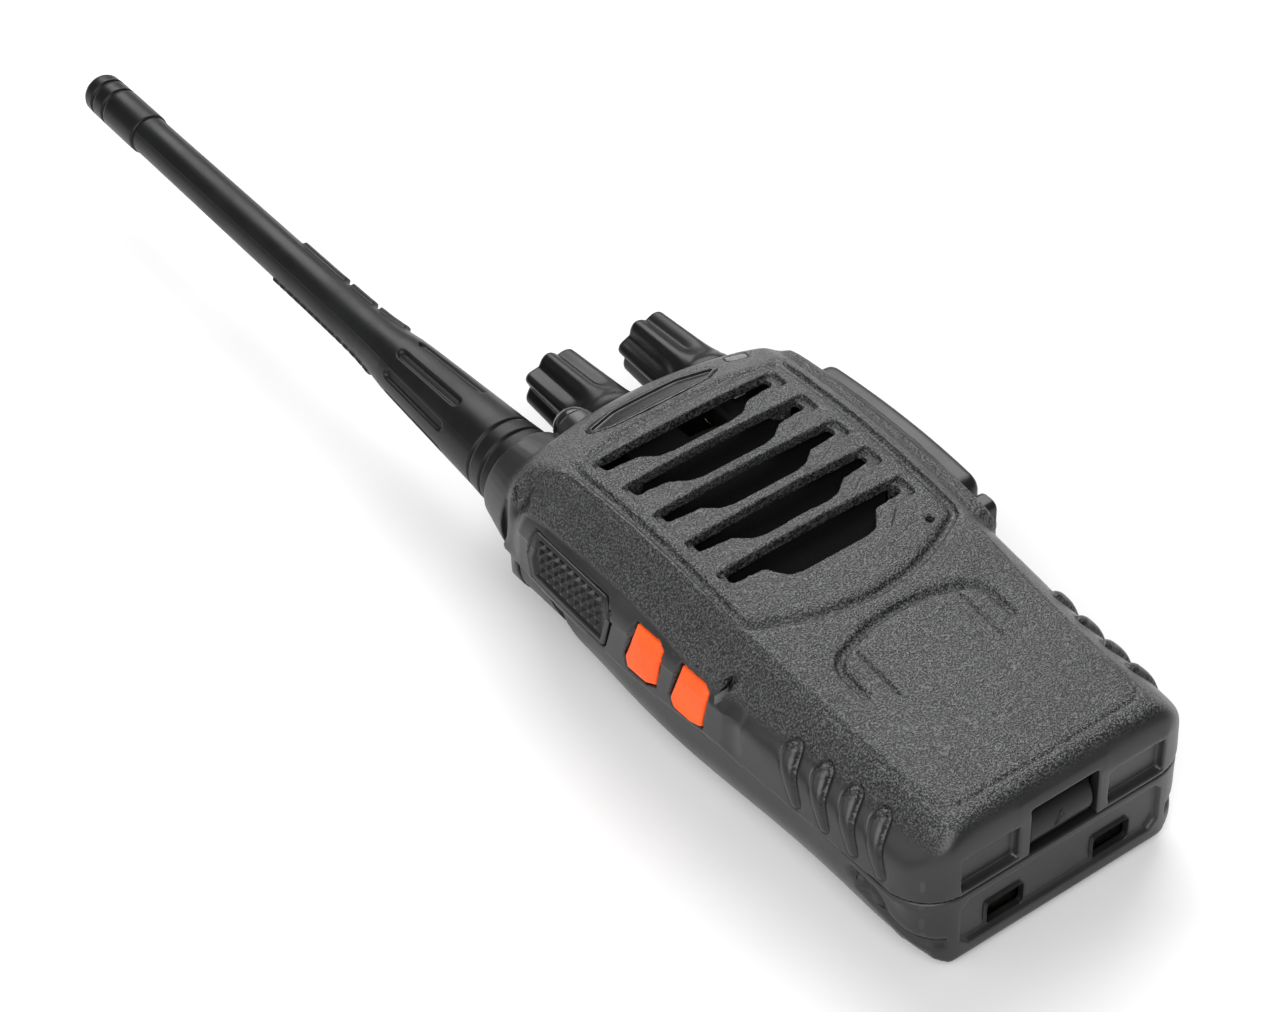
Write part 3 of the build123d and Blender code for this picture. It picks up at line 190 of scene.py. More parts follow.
class Shading:
    """Builds one node material."""

    def __init__(self, name):
        self.material = bpy.data.materials.new(name)
        self.material.use_nodes = True
        self.tree = self.material.node_tree
        self.shader = self.tree.nodes["Principled BSDF"]
        self.place = self.tree.nodes.new("ShaderNodeTexCoord").outputs["Object"]

    def node(self, kind, values=(), **settings):
        made = self.tree.nodes.new(kind)
        for key, value in settings.items():
            setattr(made, key, value)
        for key, value in dict(values).items():
            if isinstance(value, bpy.types.NodeSocket):
                self.tree.links.new(value, made.inputs[key])
            else:
                made.inputs[key].default_value = value
        return made

    def noise(self, size_mm, detail=3.0, rough=0.55, stretch=None):
        """Noise whose features are about size_mm across."""
        place = self.place
        if stretch:
            place = self.node("ShaderNodeMapping", {"Vector": place, "Scale": stretch}).outputs[0]
        values = {"Vector": place, "Scale": 1000 / size_mm, "Detail": detail, "Roughness": rough}
        return self.node("ShaderNodeTexNoise", values).outputs["Fac"]

    def cells(self, size_mm, smooth=0.35, feature="SMOOTH_F1"):
        values = {"Vector": self.place, "Scale": 1000 / size_mm}
        made = self.node("ShaderNodeTexVoronoi", values, feature=feature)
        if feature == "SMOOTH_F1":
            made.inputs["Smoothness"].default_value = smooth
        return made.outputs["Distance"]

    def math(self, operation, first, second=0.0):
        made = self.node("ShaderNodeMath", operation=operation)
        for socket, value in zip(made.inputs, (first, second)):
            if isinstance(value, bpy.types.NodeSocket):
                self.tree.links.new(value, socket)
            else:
                socket.default_value = value
        return made.outputs[0]

    def spread(self, value, low, high, new_low=0.0, new_high=1.0):
        """Rescale a value, clamped and eased at both ends."""
        values = {"Value": value, 1: low, 2: high, 3: new_low, 4: new_high}
        return self.node("ShaderNodeMapRange", values, interpolation_type="SMOOTHSTEP").outputs[0]

    def blend(self, amount, first, second):
        """A colour between two, by an amount from 0 to 1."""
        made = self.node("ShaderNodeMix", data_type="RGBA")
        self.tree.links.new(amount, made.inputs["Factor"])
        for key, value in ((6, first), (7, second)):
            if isinstance(value, bpy.types.NodeSocket):
                self.tree.links.new(value, made.inputs[key])
            else:
                made.inputs[key].default_value = (*value, 1.0)
        return made.outputs[2]

    def bump(self, height, depth_mm, under=None):
        values = {"Height": height, "Distance": depth_mm * MM, "Strength": 1.0}
        if under:
            values["Normal"] = under
        return self.node("ShaderNodeBump", values).outputs[0]

    def set(self, **sockets):
        for key, value in sockets.items():
            socket = self.shader.inputs[key.replace("_", " ")]
            if isinstance(value, bpy.types.NodeSocket):
                self.tree.links.new(value, socket)
            else:
                socket.default_value = value
        return self

    def painted_edge_highlight(self):
        """Painted highlight: brighter on sharp outer edges."""
        shape = self.node("ShaderNodeNewGeometry").outputs["Pointiness"]
        return self.spread(shape, 0.515, 0.56)

    def painted_crevice_shade(self):
        """Painted shade: darker in creases and slots."""
        shape = self.node("ShaderNodeNewGeometry").outputs["Pointiness"]
        return self.spread(shape, 0.47, 0.41)

    def axes(self):
        return self.node("ShaderNodeSeparateXYZ", {"Vector": self.place}).outputs


def moulded_plastic(name, dark, light, rough, grain_mm, grain_depth, highlight_amount=0.35, shine=0.4):
    """Moulded plastic or rubber: faint mottling, fine spark texture, painted highlight on the edges and
    painted shade in creases.
    """
    s = Shading(name)
    mottle = s.spread(s.noise(7.0, 4.0), 0.35, 0.7)
    base = s.blend(mottle, dark, light)
    # painted highlight: sharp outer edges lightened towards a much lighter copy of the colour
    highlit_edges = s.math("MULTIPLY", s.painted_edge_highlight(), highlight_amount)
    base = s.blend(highlit_edges, base, tuple(min(1.0, c * 2.2 + 0.01) for c in light))
    # painted shade: creases and slots darkened towards a quarter of the dark colour
    base = s.blend(s.math("MULTIPLY", s.painted_crevice_shade(), 0.8), base, tuple(c * 0.25 for c in dark))
    fine = s.noise(grain_mm, 2.0, 0.6)
    handled = s.noise(18.0, 3.0)
    uneven = s.math("ADD", s.math("MULTIPLY", fine, 0.5), handled)
    roughness = s.spread(uneven, 0.5, 1.1, rough - 0.08, rough + 0.1)
    normal = s.bump(fine, grain_depth)
    return s.set(Base_Color=base, Roughness=roughness, Normal=normal, Specular_IOR_Level=shine).material


def metal(name, dark, light, rough, stretch, grain_depth=0.01):
    """Machined or drawn metal, with fine marks along one direction and patchy tarnish."""
    s = Shading(name)
    marks = s.noise(0.6, 3.0, 0.6, stretch)
    tarnish = s.spread(s.noise(2.5, 4.0), 0.4, 0.7)
    base = s.blend(tarnish, light, dark)
    roughness = s.spread(marks, 0.3, 0.7, rough - 0.08, rough + 0.12)
    normal = s.bump(marks, grain_depth)
    return s.set(Base_Color=base, Metallic=1.0, Roughness=roughness, Normal=normal).material


def shell_material():
    """The housing: leather-grained panel and bevels, satin sides, deck and base; painted light lightens the
    panel and edges, painted shade darkens the bevels and creases.
    """
    s = Shading("shell_grain")
    x, y, z = s.axes()
    across = s.math("ABSOLUTE", x)
    high = s.spread(z, 0.0225, 0.0245)
    off_base = s.spread(y, -0.0371, -0.0352)
    off_deck = s.spread(y, 0.0605, 0.0580)
    off_side = s.spread(across, 0.0264, 0.0258)
    lengthwise = s.math("MULTIPLY", off_deck, off_side)
    grained = s.math("MULTIPLY", s.math("MULTIPLY", high, off_base), lengthwise)
    bevel = s.spread(across, 0.0185, 0.0215)
    satin = s.math("MULTIPLY", s.noise(0.2, 2.0, 0.6), s.math("SUBTRACT", 1.0, grained))
    speck = s.noise(0.27, 1.0, 0.6)
    wrinkles = s.math("ADD", s.math("MULTIPLY", s.cells(0.55, 0.3), 0.8), s.noise(0.4, 2.0, 0.6))
    on_panel = s.math("MULTIPLY", speck, s.math("SUBTRACT", 1.0, bevel))
    leather = s.math("ADD", on_panel, s.math("MULTIPLY", wrinkles, bevel))
    normal = s.bump(satin, 0.006)
    normal = s.bump(s.math("MULTIPLY", leather, grained), 0.2, normal)
    mottle = s.spread(s.noise(9.0, 4.0), 0.35, 0.7)
    smooth_tone = s.blend(mottle, (0.0085, 0.0087, 0.009), (0.0125, 0.0127, 0.0131))
    peaks = s.spread(speck, 0.42, 0.68)
    # painted light: the up-facing panel gets a far lighter copy of the housing's colour than the satin parts,
    # for the overhead light it catches, and the leaning bevels a less light copy, for the light they lose;
    # the speckle follows the grain
    lit_panel_tone = s.blend(peaks, (0.001, 0.001, 0.0011), (0.105, 0.107, 0.109))
    shaded_bevel_tone = s.blend(peaks, (0.001, 0.001, 0.0011), (0.065, 0.066, 0.068))
    base = s.blend(grained, smooth_tone, s.blend(bevel, lit_panel_tone, shaded_bevel_tone))
    # painted highlight: sharp outer edges lightened
    base = s.blend(s.math("MULTIPLY", s.painted_edge_highlight(), 0.3), base, (0.06, 0.061, 0.063))
    # painted shade: creases and slots darkened almost to black
    base = s.blend(s.painted_crevice_shade(), base, (0.0015, 0.0015, 0.0016))
    handled = s.spread(s.noise(22.0, 3.0), 0.35, 0.7, -0.04, 0.05)
    rough = s.math("ADD", s.math("MULTIPLY", grained, 0.04), s.math("ADD", handled, 0.36))
    return s.set(Base_Color=base, Roughness=rough, Normal=normal, Specular_IOR_Level=0.5).material


def board_material():
    """Circuit board: solder mask over copper tracks, gold pads."""
    s = Shading("board_tracks")
    tracks = s.spread(s.cells(1.7, feature="DISTANCE_TO_EDGE"), 0.03, 0.09)
    pads = s.spread(s.cells(2.6, 0.1), 0.22, 0.17)
    base = s.blend(tracks, (0.03, 0.20, 0.08), (0.012, 0.10, 0.045))
    base = s.blend(pads, base, (0.72, 0.52, 0.2))
    rough = s.spread(s.noise(1.2, 3.0), 0.3, 0.7, 0.25, 0.42)
    gilt = s.math("MULTIPLY", pads, 0.9)
    return s.set(Base_Color=base, Roughness=rough, Metallic=gilt, Normal=s.bump(tracks, -0.03)).material


def cloth_material():
    """Fine black woven dust cloth behind the grille."""
    s = Shading("dust_cloth")
    x, y, _ = s.axes()
    per_metre = 2 * pi / (0.42 * MM)
    warp = s.math("SINE", s.math("MULTIPLY", x, per_metre))
    weft = s.math("SINE", s.math("MULTIPLY", y, per_metre))
    weave = s.math("MULTIPLY", warp, weft)
    base = s.blend(s.spread(weave, -0.6, 0.6), (0.0008, 0.0008, 0.0008), (0.003, 0.003, 0.0031))
    normal = s.bump(weave, 0.06)
    return s.set(Base_Color=base, Roughness=0.95, Specular_IOR_Level=0.12, Normal=normal).material


def lens_material(name, tint, rough):
    """A small moulded light window, faintly cloudy."""
    s = Shading(name)
    cloud = s.spread(s.noise(1.4, 3.0), 0.35, 0.7)
    base = s.blend(cloud, tint, tuple(min(1.0, c * 1.35) for c in tint))
    mark = s.noise(0.35, 2.0)
    roughness = s.spread(mark, 0.3, 0.7, rough, rough + 0.1)
    s.set(Base_Color=base, Roughness=roughness, Normal=s.bump(mark, 0.008))
    return s.set(Coat_Weight=0.5, Coat_Roughness=0.12).material


MATERIALS = {
    "shell_plastic": shell_material(),
    "battery_plastic": moulded_plastic(
        "battery_satin", (0.0085, 0.0087, 0.009), (0.0125, 0.0127, 0.0131), 0.38, 0.25, 0.008, shine=0.5
    ),
    "dark_plate": moulded_plastic(
        "plate_gloss", (0.004, 0.004, 0.0042), (0.006, 0.006, 0.0062), 0.2, 0.2, 0.002, 0.6, 0.5
    ),
    "clear_lens": lens_material("light_window", (0.045, 0.047, 0.05), 0.2),
    "soft_rubber": moulded_plastic(
        "soft_rubber", (0.005, 0.0051, 0.0053), (0.008, 0.0082, 0.0085), 0.42, 0.18, 0.008
    ),
    "orange_key": moulded_plastic(
        "orange_rubber", (0.88, 0.085, 0.005), (0.96, 0.105, 0.008), 0.6, 0.16, 0.006, 0.2
    ),
    "knob_plastic": moulded_plastic(
        "knob_satin", (0.003, 0.003, 0.0032), (0.005, 0.005, 0.0053), 0.34, 0.2, 0.006, 0.3, 0.27
    ),
    "antenna_rubber": moulded_plastic(
        "antenna_rubber", (0.0035, 0.0036, 0.0038), (0.006, 0.0062, 0.0065), 0.4, 0.3, 0.012, 0.3, 0.24
    ),
    "die_cast": moulded_plastic(
        "coated_casting", (0.012, 0.012, 0.0125), (0.018, 0.018, 0.0185), 0.5, 0.2, 0.02, 0.5
    ),
    "steel": metal("plated_steel", (0.45, 0.45, 0.46), (0.62, 0.62, 0.63), 0.3, (0.3, 2, 2)),
    "brass": metal("gold_plate", (0.62, 0.42, 0.16), (0.85, 0.62, 0.27), 0.26, (2, 0.3, 2)),
    "shaft_metal": metal("turned_alloy", (0.5, 0.5, 0.51), (0.7, 0.7, 0.71), 0.28, (0.4, 3, 0.4)),
    "board_green": board_material(),
    "black_part": moulded_plastic(
        "component_black", (0.012, 0.012, 0.012), (0.022, 0.022, 0.022), 0.45, 0.15, 0.01
    ),
    "cone_paper": moulded_plastic(
        "pressed_paper", (0.02, 0.019, 0.018), (0.04, 0.038, 0.035), 0.8, 0.35, 0.03
    ),
    "cloth": cloth_material(),
    "light": lens_material("light_chip", (0.75, 0.74, 0.62), 0.15),
    "cell_wrap": moulded_plastic("cell_wrap", (0.05, 0.09, 0.22), (0.08, 0.13, 0.30), 0.3, 0.5, 0.01),
}
for part in frame["record"]["subparts"]:
    mesh = nodes[part["node"]].data
    mesh.materials.clear()
    mesh.materials.append(MATERIALS[part["material_slot"]])
# painted shade: the charge contacts sit deep in their windows, so their plating is darkened to read as
# shadowed
nodes["charge_contacts"].data.materials[0] = metal(
    "shade_darkened_contact", (0.05, 0.045, 0.035), (0.11, 0.1, 0.08), 0.4, (2, 0.3, 2)
)


# ---- housing ------------------------------------------------------------------------------

# lines on the front, as (across, up the body)
PANEL_EDGE = mirrored([
    (-20.9, 87.0), (-20.9, 52.0), (-19.6, 34.0), (-18.8, 17.0), (-18.5, 8.0), (-17.8, 5.6), (-15.6, 4.4),
    (0.0, 4.0),
])
FRAME_LINE = mirrored([
    (-19.3, 87.0), (-19.3, 48.5), (-18.8, 46.0), (-16.8, 44.6), (-9.0, 41.4), (0.0, 40.0),
])
THUMB_LINE = mirrored([
    (-13.4, 24.0), (-13.4, 31.0), (-12.7, 33.1), (-10.6, 34.4), (-5.4, 35.8), (0.0, 36.3),
])

# side buttons on the upright pad, as (up the body, height)
PTT = [(66.4, 26.0), (84.0, 26.4), (86.2, 20.0), (85.6, 15.9), (67.4, 15.6), (66.0, 21.5)]
UPPER_KEY = [(54.2, 26.4), (59.4, 26.2), (62.6, 17.6), (62.0, 15.6), (57.7, 15.5), (55.6, 16.7), (53.5, 25.1)]
KEY_PITCH = 10.6
LOWER_KEY = [(up - KEY_PITCH, height) for up, height in UPPER_KEY]

# pockets in the base beside the latch, about their own middle
POCKET = [(-5.2, -3.2), (5.2, -3.2), (5.2, 3.2), (-5.2, 3.2)]
POCKET_X, POCKET_Z = 13.2, 18.2

SEAM_Z = 14.2  # where the housing meets the battery
STATIONS = np.array([  # distance up the body, half width, half width of the panel, panel height
    (0.0, 25.3, 18.0, 27.0),
    (16.0, 25.9, 18.3, 28.4),
    (33.0, 26.7, 19.0, 29.9),
    (50.0, 27.4, 20.3, 32.1),
    (66.0, 27.8, 20.8, 33.3),
    (84.0, 27.7, 20.8, 32.7),
    (103.0, 27.3, 20.2, 29.2),
])


def side_surface(y, z):
    """Half width of the housing's plain side and bevel at a place."""
    side, panel, top = (np.interp(y, STATIONS[:, 0], STATIONS[:, k]) for k in (1, 2, 3))
    draft = 0.4
    knee = SEAM_Z + 0.42 * (top - SEAM_Z)
    lip = top - 1.0
    wall = side - draft * np.clip((z - 14.4) / (knee - 14.4), 0, 1)
    t = np.clip((z - knee) / (lip - knee), 0, 1)
    bevel = side - draft - (side - draft - panel) * t + 1.2 * t * (1 - t)
    return np.where(z < knee, wall, bevel)


def pad_surface(y, z):
    """Half width of the low raised pad that holds the side buttons; it leans in with a round top."""
    run = np.clip(1 - ((y - 70) / 29) ** 2, 0, 1)
    rise = 0.75 * (1 - smoothstep(z, 22.5, 28.5)) + 1.1 * np.clip(1 - ((z - 26.0) / 4.6) ** 2, 0, 1)
    return side_surface(y, z) + rise * run


LEAN = np.array([1.0, 1.41, -1.73])  # inwards, up the body and down, for each mm that the pad leans in
PAD_X = 28.15  # half width of the pad where it is upright


def lean(points, weight):
    """Lay what stands upright on the left side onto the leaning pad."""
    _, y, z = points.T
    shift = np.zeros(len(y))
    for _ in range(12):
        reach = pad_surface(y + LEAN[1] * shift, z + LEAN[2] * shift)
        shift = 0.6 * shift + 0.4 * np.clip(PAD_X - reach, 0, 3.5)
    shift = shift * weight * smoothstep(z, 14.8, 17.5) * smoothstep(y, 37, 42) * smoothstep(94 - y, 0, 4)
    return points + shift[:, None] * LEAN


def button_clearance(points):
    """How far points lie outside the side buttons, once those lie on the leaning pad."""
    clear = np.full(len(points), 9.0)
    for outline in (PTT, UPPER_KEY, LOWER_KEY):
        upright = np.array([(-PAD_X, up, height) for up, height in outline])
        clear = np.minimum(clear, -edge_distance(points[:, 1:], lean(upright, 1.0)[:, 1:]))
    return clear


GRIPS = [25.9, 20.0, 14.2, 8.6]  # how far up the body each finger rib starts
GRIP_FOOT_Z = 16.0
GRIP_RUN = np.array([3.2, 6.6])


def grip_ribs(y, z):
    """Height of the finger ribs, slanted bars that are round at the front, with a groove round each."""
    height = np.zeros(len(y))
    groove = np.zeros(len(y))
    for at in GRIPS:
        foot = np.array([at, GRIP_FOOT_Z])
        t = np.clip(((y - foot[0]) * GRIP_RUN[0] + (z - foot[1]) * GRIP_RUN[1]) / (GRIP_RUN @ GRIP_RUN), 0, 1)
        radius = 0.65 + 0.65 * t
        off = np.hypot(y - foot[0] - t * GRIP_RUN[0], z - foot[1] - t * GRIP_RUN[1])
        height = np.maximum(height, (0.5 + 0.55 * t) * np.sqrt(np.clip(1 - (off / radius) ** 2, 0, 1)))
        groove = np.maximum(groove, 0.28 * ridge(off - radius - 0.15, 0.3))
    return height - groove * (height < 0.05)


def soft_weight(x, y, z, wide, clear):
    """Where the housing's edges are rounded off, from 0 to 1. wide is the distance from the middle."""
    latch = (wide < 8) & (z < 24.6)
    base = smoothstep(13 - y, 0, 4) * smoothstep(z, 21.9, 23.4) * ~latch
    corner = smoothstep(wide, 18.8, 20.2) * smoothstep(14 - y, 0, 4) * smoothstep(z, 15.4, 18)
    # the shoulders, but not the rims of the status light, the antenna and the knob
    off_lamp = np.hypot(x - 16.5, y - 93.9) > 3.2
    off_antenna = (np.hypot(x - ANTENNA_X, z - ANTENNA_Z) > 10.2) | (y < 95)
    off_knob = (np.hypot(x - 17.0, z - KNOB_Z) > 7.8) | (y < 96)
    shoulder = smoothstep(y, 84, 90) * smoothstep(wide, 14.5, 18) * smoothstep(z, 15, 17)
    shoulder = shoulder * off_lamp * off_antenna * off_knob
    bevel = 0.5 * smoothstep(wide, 20, 21.5) * smoothstep(z, 18, 20) * (y < 90)
    bevel = np.where((wide > 24) & (y > 38) & (z < 27.2), 0, bevel)
    grips = smoothstep(wide, 22, 23.5) * smoothstep(y, 4, 7) * (y < 33) * smoothstep(z, 14.9, 15.7)
    right = (x > 0) * smoothstep(wide, 22, 24) * smoothstep(z, 25.6, 27.0) * (y > 40)
    pad_top = (x < -21) * smoothstep(z, 20.5, 22.0) * (y > 42) * (y < 92) * smoothstep(clear, 0.5, 1.1)
    return np.maximum.reduce([base, corner, shoulder, bevel, grips, right, pad_top])


def front_relief(points):
    """Depth of the lines pressed into the front."""
    x, y, _ = points.T
    crease = 0.2 * ridge(path_distance(points[:, :2], PANEL_EDGE), 0.4)
    frame_line = 0.3 * ridge(path_distance(points[:, :2], FRAME_LINE), 0.85)
    thumb_line = 0.34 * ridge(path_distance(points[:, :2], THUMB_LINE), 0.95) * smoothstep(y, 24.0, 30.0)
    arch = 88.7 - 0.0052 * x * x
    brow = 0.4 * ridge(y - arch, 0.6) * (np.abs(x) < 19)
    return crease + frame_line + thumb_line + brow


def shape_housing(mesh, points, normals):
    wide = np.abs(points[:, 0])
    # the left side's pad leans in, and the skin round its buttons follows the pad's surface
    points = lean(points, smoothstep(-points[:, 0], 23.0, 26.0))
    x, y, z = points.T
    clear = button_clearance(points)
    outer = (normals[:, 0] < -0.3) | ((normals[:, 2] > 0.3) & (z > 19.5))
    skin = outer * (clear > 0.3) * smoothstep(-x, 21.8, 23.0) * smoothstep(z, 14.8, 15.2)
    skin *= smoothstep(93 - y, 0, 4) * smoothstep(y, 38, 42) * smoothstep(30.5 - z, 0, 1.5)
    points = relax(mesh, points, soft_weight(x, y, z, wide, clear), 90)
    x, y, z = points.T
    points[:, 0] -= skin * (pad_surface(y, z) + x)
    outside = (normals[:, 2] > 0.3) & (z > 23.0)
    points = points - normals * (front_relief(points) * outside)[:, None]
    # finger ribs, and deeper pockets beside the latch
    facing = normals[:, 0] * np.sign(x) > 0.2
    beside = facing & (np.abs(x) > side_surface(y, z) - 1.3) & (y < 33) & (z > 14.9)
    outward = np.stack([0.95 * np.sign(x), 0 * x, 0 * x + 0.3], axis=1)
    points = points + outward * (grip_ribs(y, z) * beside)[:, None]
    inside = np.maximum(
        edge_distance(np.stack([x - POCKET_X, z - POCKET_Z], 1), POCKET),
        edge_distance(np.stack([x + POCKET_X, z - POCKET_Z], 1), POCKET),
    )
    points[:, 1] += 0.7 * smoothstep(inside, 0.05, 0.4) * (normals[:, 1] < -0.3) * (y < 1.4)
    return points


moulded("front_housing", 0.24, 4, "shell_plastic", shape_housing)


# ---- battery ------------------------------------------------------------------------------

BASE_RECESS = [
    (-16.5, 3.6), (16.8, 3.6), (18.4, 5.2), (18.4, 11.4), (17.2, 12.6), (-16.8, 12.6), (-18.2, 11.2),
    (-18.2, 5.2),
]
SCOOP = [(14.5, 11.8), (9.0, 9.4), (4.0, 7.0), (0.6, 5.6)]


def shape_battery(mesh, points, normals):
    x, y, z = points.T
    wide = np.abs(x)
    weight = smoothstep(wide, 21.5, 23) * smoothstep(12 - y, 0, 4) * smoothstep(12.6 - z, 0, 1.2)
    points = relax(mesh, points, weight, 60)
    y = points[:, 1]
    # finger scoop along each side near the base
    scoop = 0.7 * ridge(path_distance(points[:, 1:], SCOOP), 0.75)
    points = points - normals * (scoop * (np.abs(normals[:, 0]) > 0.25) * (wide > 20))[:, None]
    # recess across the base, with a rim round it
    inside = edge_distance(points[:, (0, 2)], BASE_RECESS)
    points[:, 1] += 0.75 * smoothstep(inside, 0.0, 0.4) * (normals[:, 1] < -0.5) * (y < 1.2)
    return points


moulded("battery_case", 0.3, 4, "battery_plastic", shape_battery)


# ---- small mouldings ----------------------------------------------------------------------

PLATE = [
    (-9.0, 90.7), (9.0, 90.7), (11.9, 92.6), (11.6, 94.1), (6.0, 95.9), (-6.0, 95.9), (-11.6, 94.1),
    (-11.9, 92.6),
]


def shape_plate(mesh, points, normals):
    # a raised rim round a flat field
    inside = edge_distance(points[:, :2], PLATE)
    rim = 0.45 * smoothstep(inside, 0.55, 0.85) - 0.2
    rim = rim * (normals[:, 2] > 0.5)
    return points - normals * rim[:, None]


def shape_cover(mesh, points, normals):
    x, y, z = points.T
    # the cover bulges outwards along its middle
    along = np.clip(1 - ((y - 69) / 19.5) ** 2, 0, 1)
    across = np.clip(1 - ((z - 21.3) / 6.5) ** 2, 0, 1)
    points = points.copy()
    points[:, 0] += 1.5 * along * np.sqrt(across) * smoothstep(x, 27.0, 29.2)
    return points


def shape_latch(mesh, points, normals):
    x, y, z = points.T
    # the tab is scooped out for a fingertip on both sides of a crest
    tab = smoothstep(2.2 - y, 0.0, 0.4) * (np.abs(x) < 5.9)
    hollow = 0.35 + 1.3 * np.clip((z - 17.2) / 3.4, -1, 1) ** 2
    points = points.copy()
    points[:, 1] += hollow * tab
    return points


moulded("nameplate", 0.12, 3, "dark_plate", shape_plate)
moulded("led_lens", 0.12, 3, "clear_lens")
moulded("flashlight_lens", 0.14, 3, "dark_plate")
moulded("jack_cover", 0.2, 26, "soft_rubber", shape_cover)
moulded("cover_anchor", 0.18, 14, "soft_rubber")
moulded("latch_slider", 0.13, 3, "knob_plastic", shape_latch)

# ---- side buttons -------------------------------------------------------------------------


def shape_ptt(mesh, points, normals):
    x, y, z = points.T
    inside = edge_distance(points[:, 1:], PTT)
    points = lean(points, 1.0)
    reach = pad_surface(points[:, 1], points[:, 2]) + 0.2
    points[:, 0] = -np.minimum(-points[:, 0], reach)
    outer = (normals[:, 0] < -0.5) & (x < -26.0)
    # raised rim round a sunken field of small pyramids
    sunk = 0.6 * smoothstep(inside, 0.9, 1.3)
    along = (y - 68.3) / 1.72
    across = (z - 17.4) / 1.86
    u = np.abs(along - np.floor(along) - 0.5) * 2
    v = np.abs(across - np.floor(across) - 0.5) * 2
    peak = 0.95 * np.clip(1.1 - np.maximum(u, v) * 1.3, 0, 0.8)
    field = (along > 0) & (along < 9) & (across > 0) & (across < 4) & (inside > 1.2)
    points[:, 0] -= (-sunk + peak * field) * outer
    return points


moulded("ptt_button", 0.13, 2, "soft_rubber", shape_ptt)


def shape_key(outline, middle):
    """The shaping of a key with this outline, whose raised marks stand at middle."""

    def shape(mesh, points, normals):
        _, y, z = points.T
        inside = edge_distance(points[:, 1:], outline)
        # a low cushion that rises from just under the pad's surface
        dome = np.sqrt(1 - (1 - np.clip(inside / 2.2, 0, 1)) ** 2)
        points = lean(points, 1.0)
        reach = pad_surface(points[:, 1], points[:, 2]) - 0.5 + 1.1 * dome
        marks = np.exp(-(((y - middle) / 0.3) ** 4)) * (np.abs(z - 22.4) < 0.9)
        marks = marks + np.exp(-(((y - middle) / 0.45) ** 2 + ((z - 18.8) / 0.45) ** 2))
        points[:, 0] = -np.minimum(-points[:, 0], reach + 0.14 * marks * (inside > 1))
        return points

    return shape


moulded("side_key_upper", 0.13, 5, "orange_key", shape_key(UPPER_KEY, 57.9))
moulded("side_key_lower", 0.13, 5, "orange_key", shape_key(LOWER_KEY, 57.9 - KEY_PITCH))

# ---- knobs --------------------------------------------------------------------------------


def knob(node, pointer):
    """A fluted knob: plain collar, soft lobes that deepen upwards, a pointer rib on top."""
    low, high = (np.array(corner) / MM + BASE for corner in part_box(node))
    axis_x, axis_z = (low[0] + high[0]) / 2, KNOB_Z
    base, top = low[1], high[1]
    tall = top - base
    steps = 168
    turn = np.linspace(0, 2 * pi, steps, endpoint=False)
    lobes = (0.5 + 0.5 * np.cos(7 * (turn - pointer))) ** 0.75
    tip = np.exp(-((np.angle(np.exp(1j * (turn - pointer))) / 0.17) ** 4))

    def ring(up, radius, flute, rib=0.0):
        edge = radius - flute * (1 - lobes) + rib * tip
        across, out = axis_x + edge * np.sin(turn), axis_z + edge * np.cos(turn)
        return np.stack([across, np.full(steps, up), out], axis=1)

    rings = [
        ring(base + 5.0, 3.05, 0), ring(base + 1.0, 3.2, 0), ring(base + 0.9, 5.1, 0), ring(base, 5.2, 0),
        ring(base, 6.3, 0), ring(base + 0.25, 6.5, 0), ring(base + 2.0, 6.45, 0), ring(base + 2.25, 6.3, 0.1),
    ]
    for k in range(1, 15):
        t = k / 14
        depth = 1.15 * smoothstep(np.array(t), 0.0, 0.35)
        rings.append(ring(base + 2.25 + (tall - 3.4) * t, 6.3 - 0.75 * t, depth, 0.35 * t))
    for k in range(1, 7):
        bend = k / 6 * pi / 2
        radius = 5.55 - 0.95 * (1 - cos(bend))
        rings.append(ring(top - 1.15 + 0.95 * sin(bend), radius, 1.15 - 0.2 * k / 6, 0.3 * (1 - k / 8)))
    crown = rings[-1]
    for scale, drop in ((0.92, 0.0), (0.8, 0.12), (0.74, 0.3), (0.5, 0.34), (0.2, 0.35)):
        inner = crown.copy()
        inner[:, 0] = axis_x + (crown[:, 0] - axis_x) * scale
        inner[:, 2] = axis_z + (crown[:, 2] - axis_z) * scale
        lift = 0.42 * tip if 0.7 < scale else 0.3 * tip * (scale > 0.3)
        inner[:, 1] = crown[:, 1] - drop + lift
        rings.append(inner)
    mesh = bpy.data.meshes.new(node + "_fluted")
    made = bmesh.new()
    grid = [[made.verts.new(tuple((p - BASE) * MM)) for p in row] for row in rings]
    for row, following in zip(grid, grid[1:]):
        for k in range(steps):
            made.faces.new((row[k], row[(k + 1) % steps], following[(k + 1) % steps], following[k]))
    made.faces.new(grid[0])
    made.faces.new(grid[-1])
    bmesh.ops.recalc_face_normals(made, faces=made.faces)
    made.to_mesh(mesh)
    made.free()
    smooth_shade(mesh)
    mesh.materials.append(MATERIALS["knob_plastic"])
    stand_for(link(bpy.data.objects.new(node + "_fluted", mesh)), node)


knob("channel_knob", radians(-60))
knob("volume_knob", radians(-75))

# ---- antenna ------------------------------------------------------------------------------


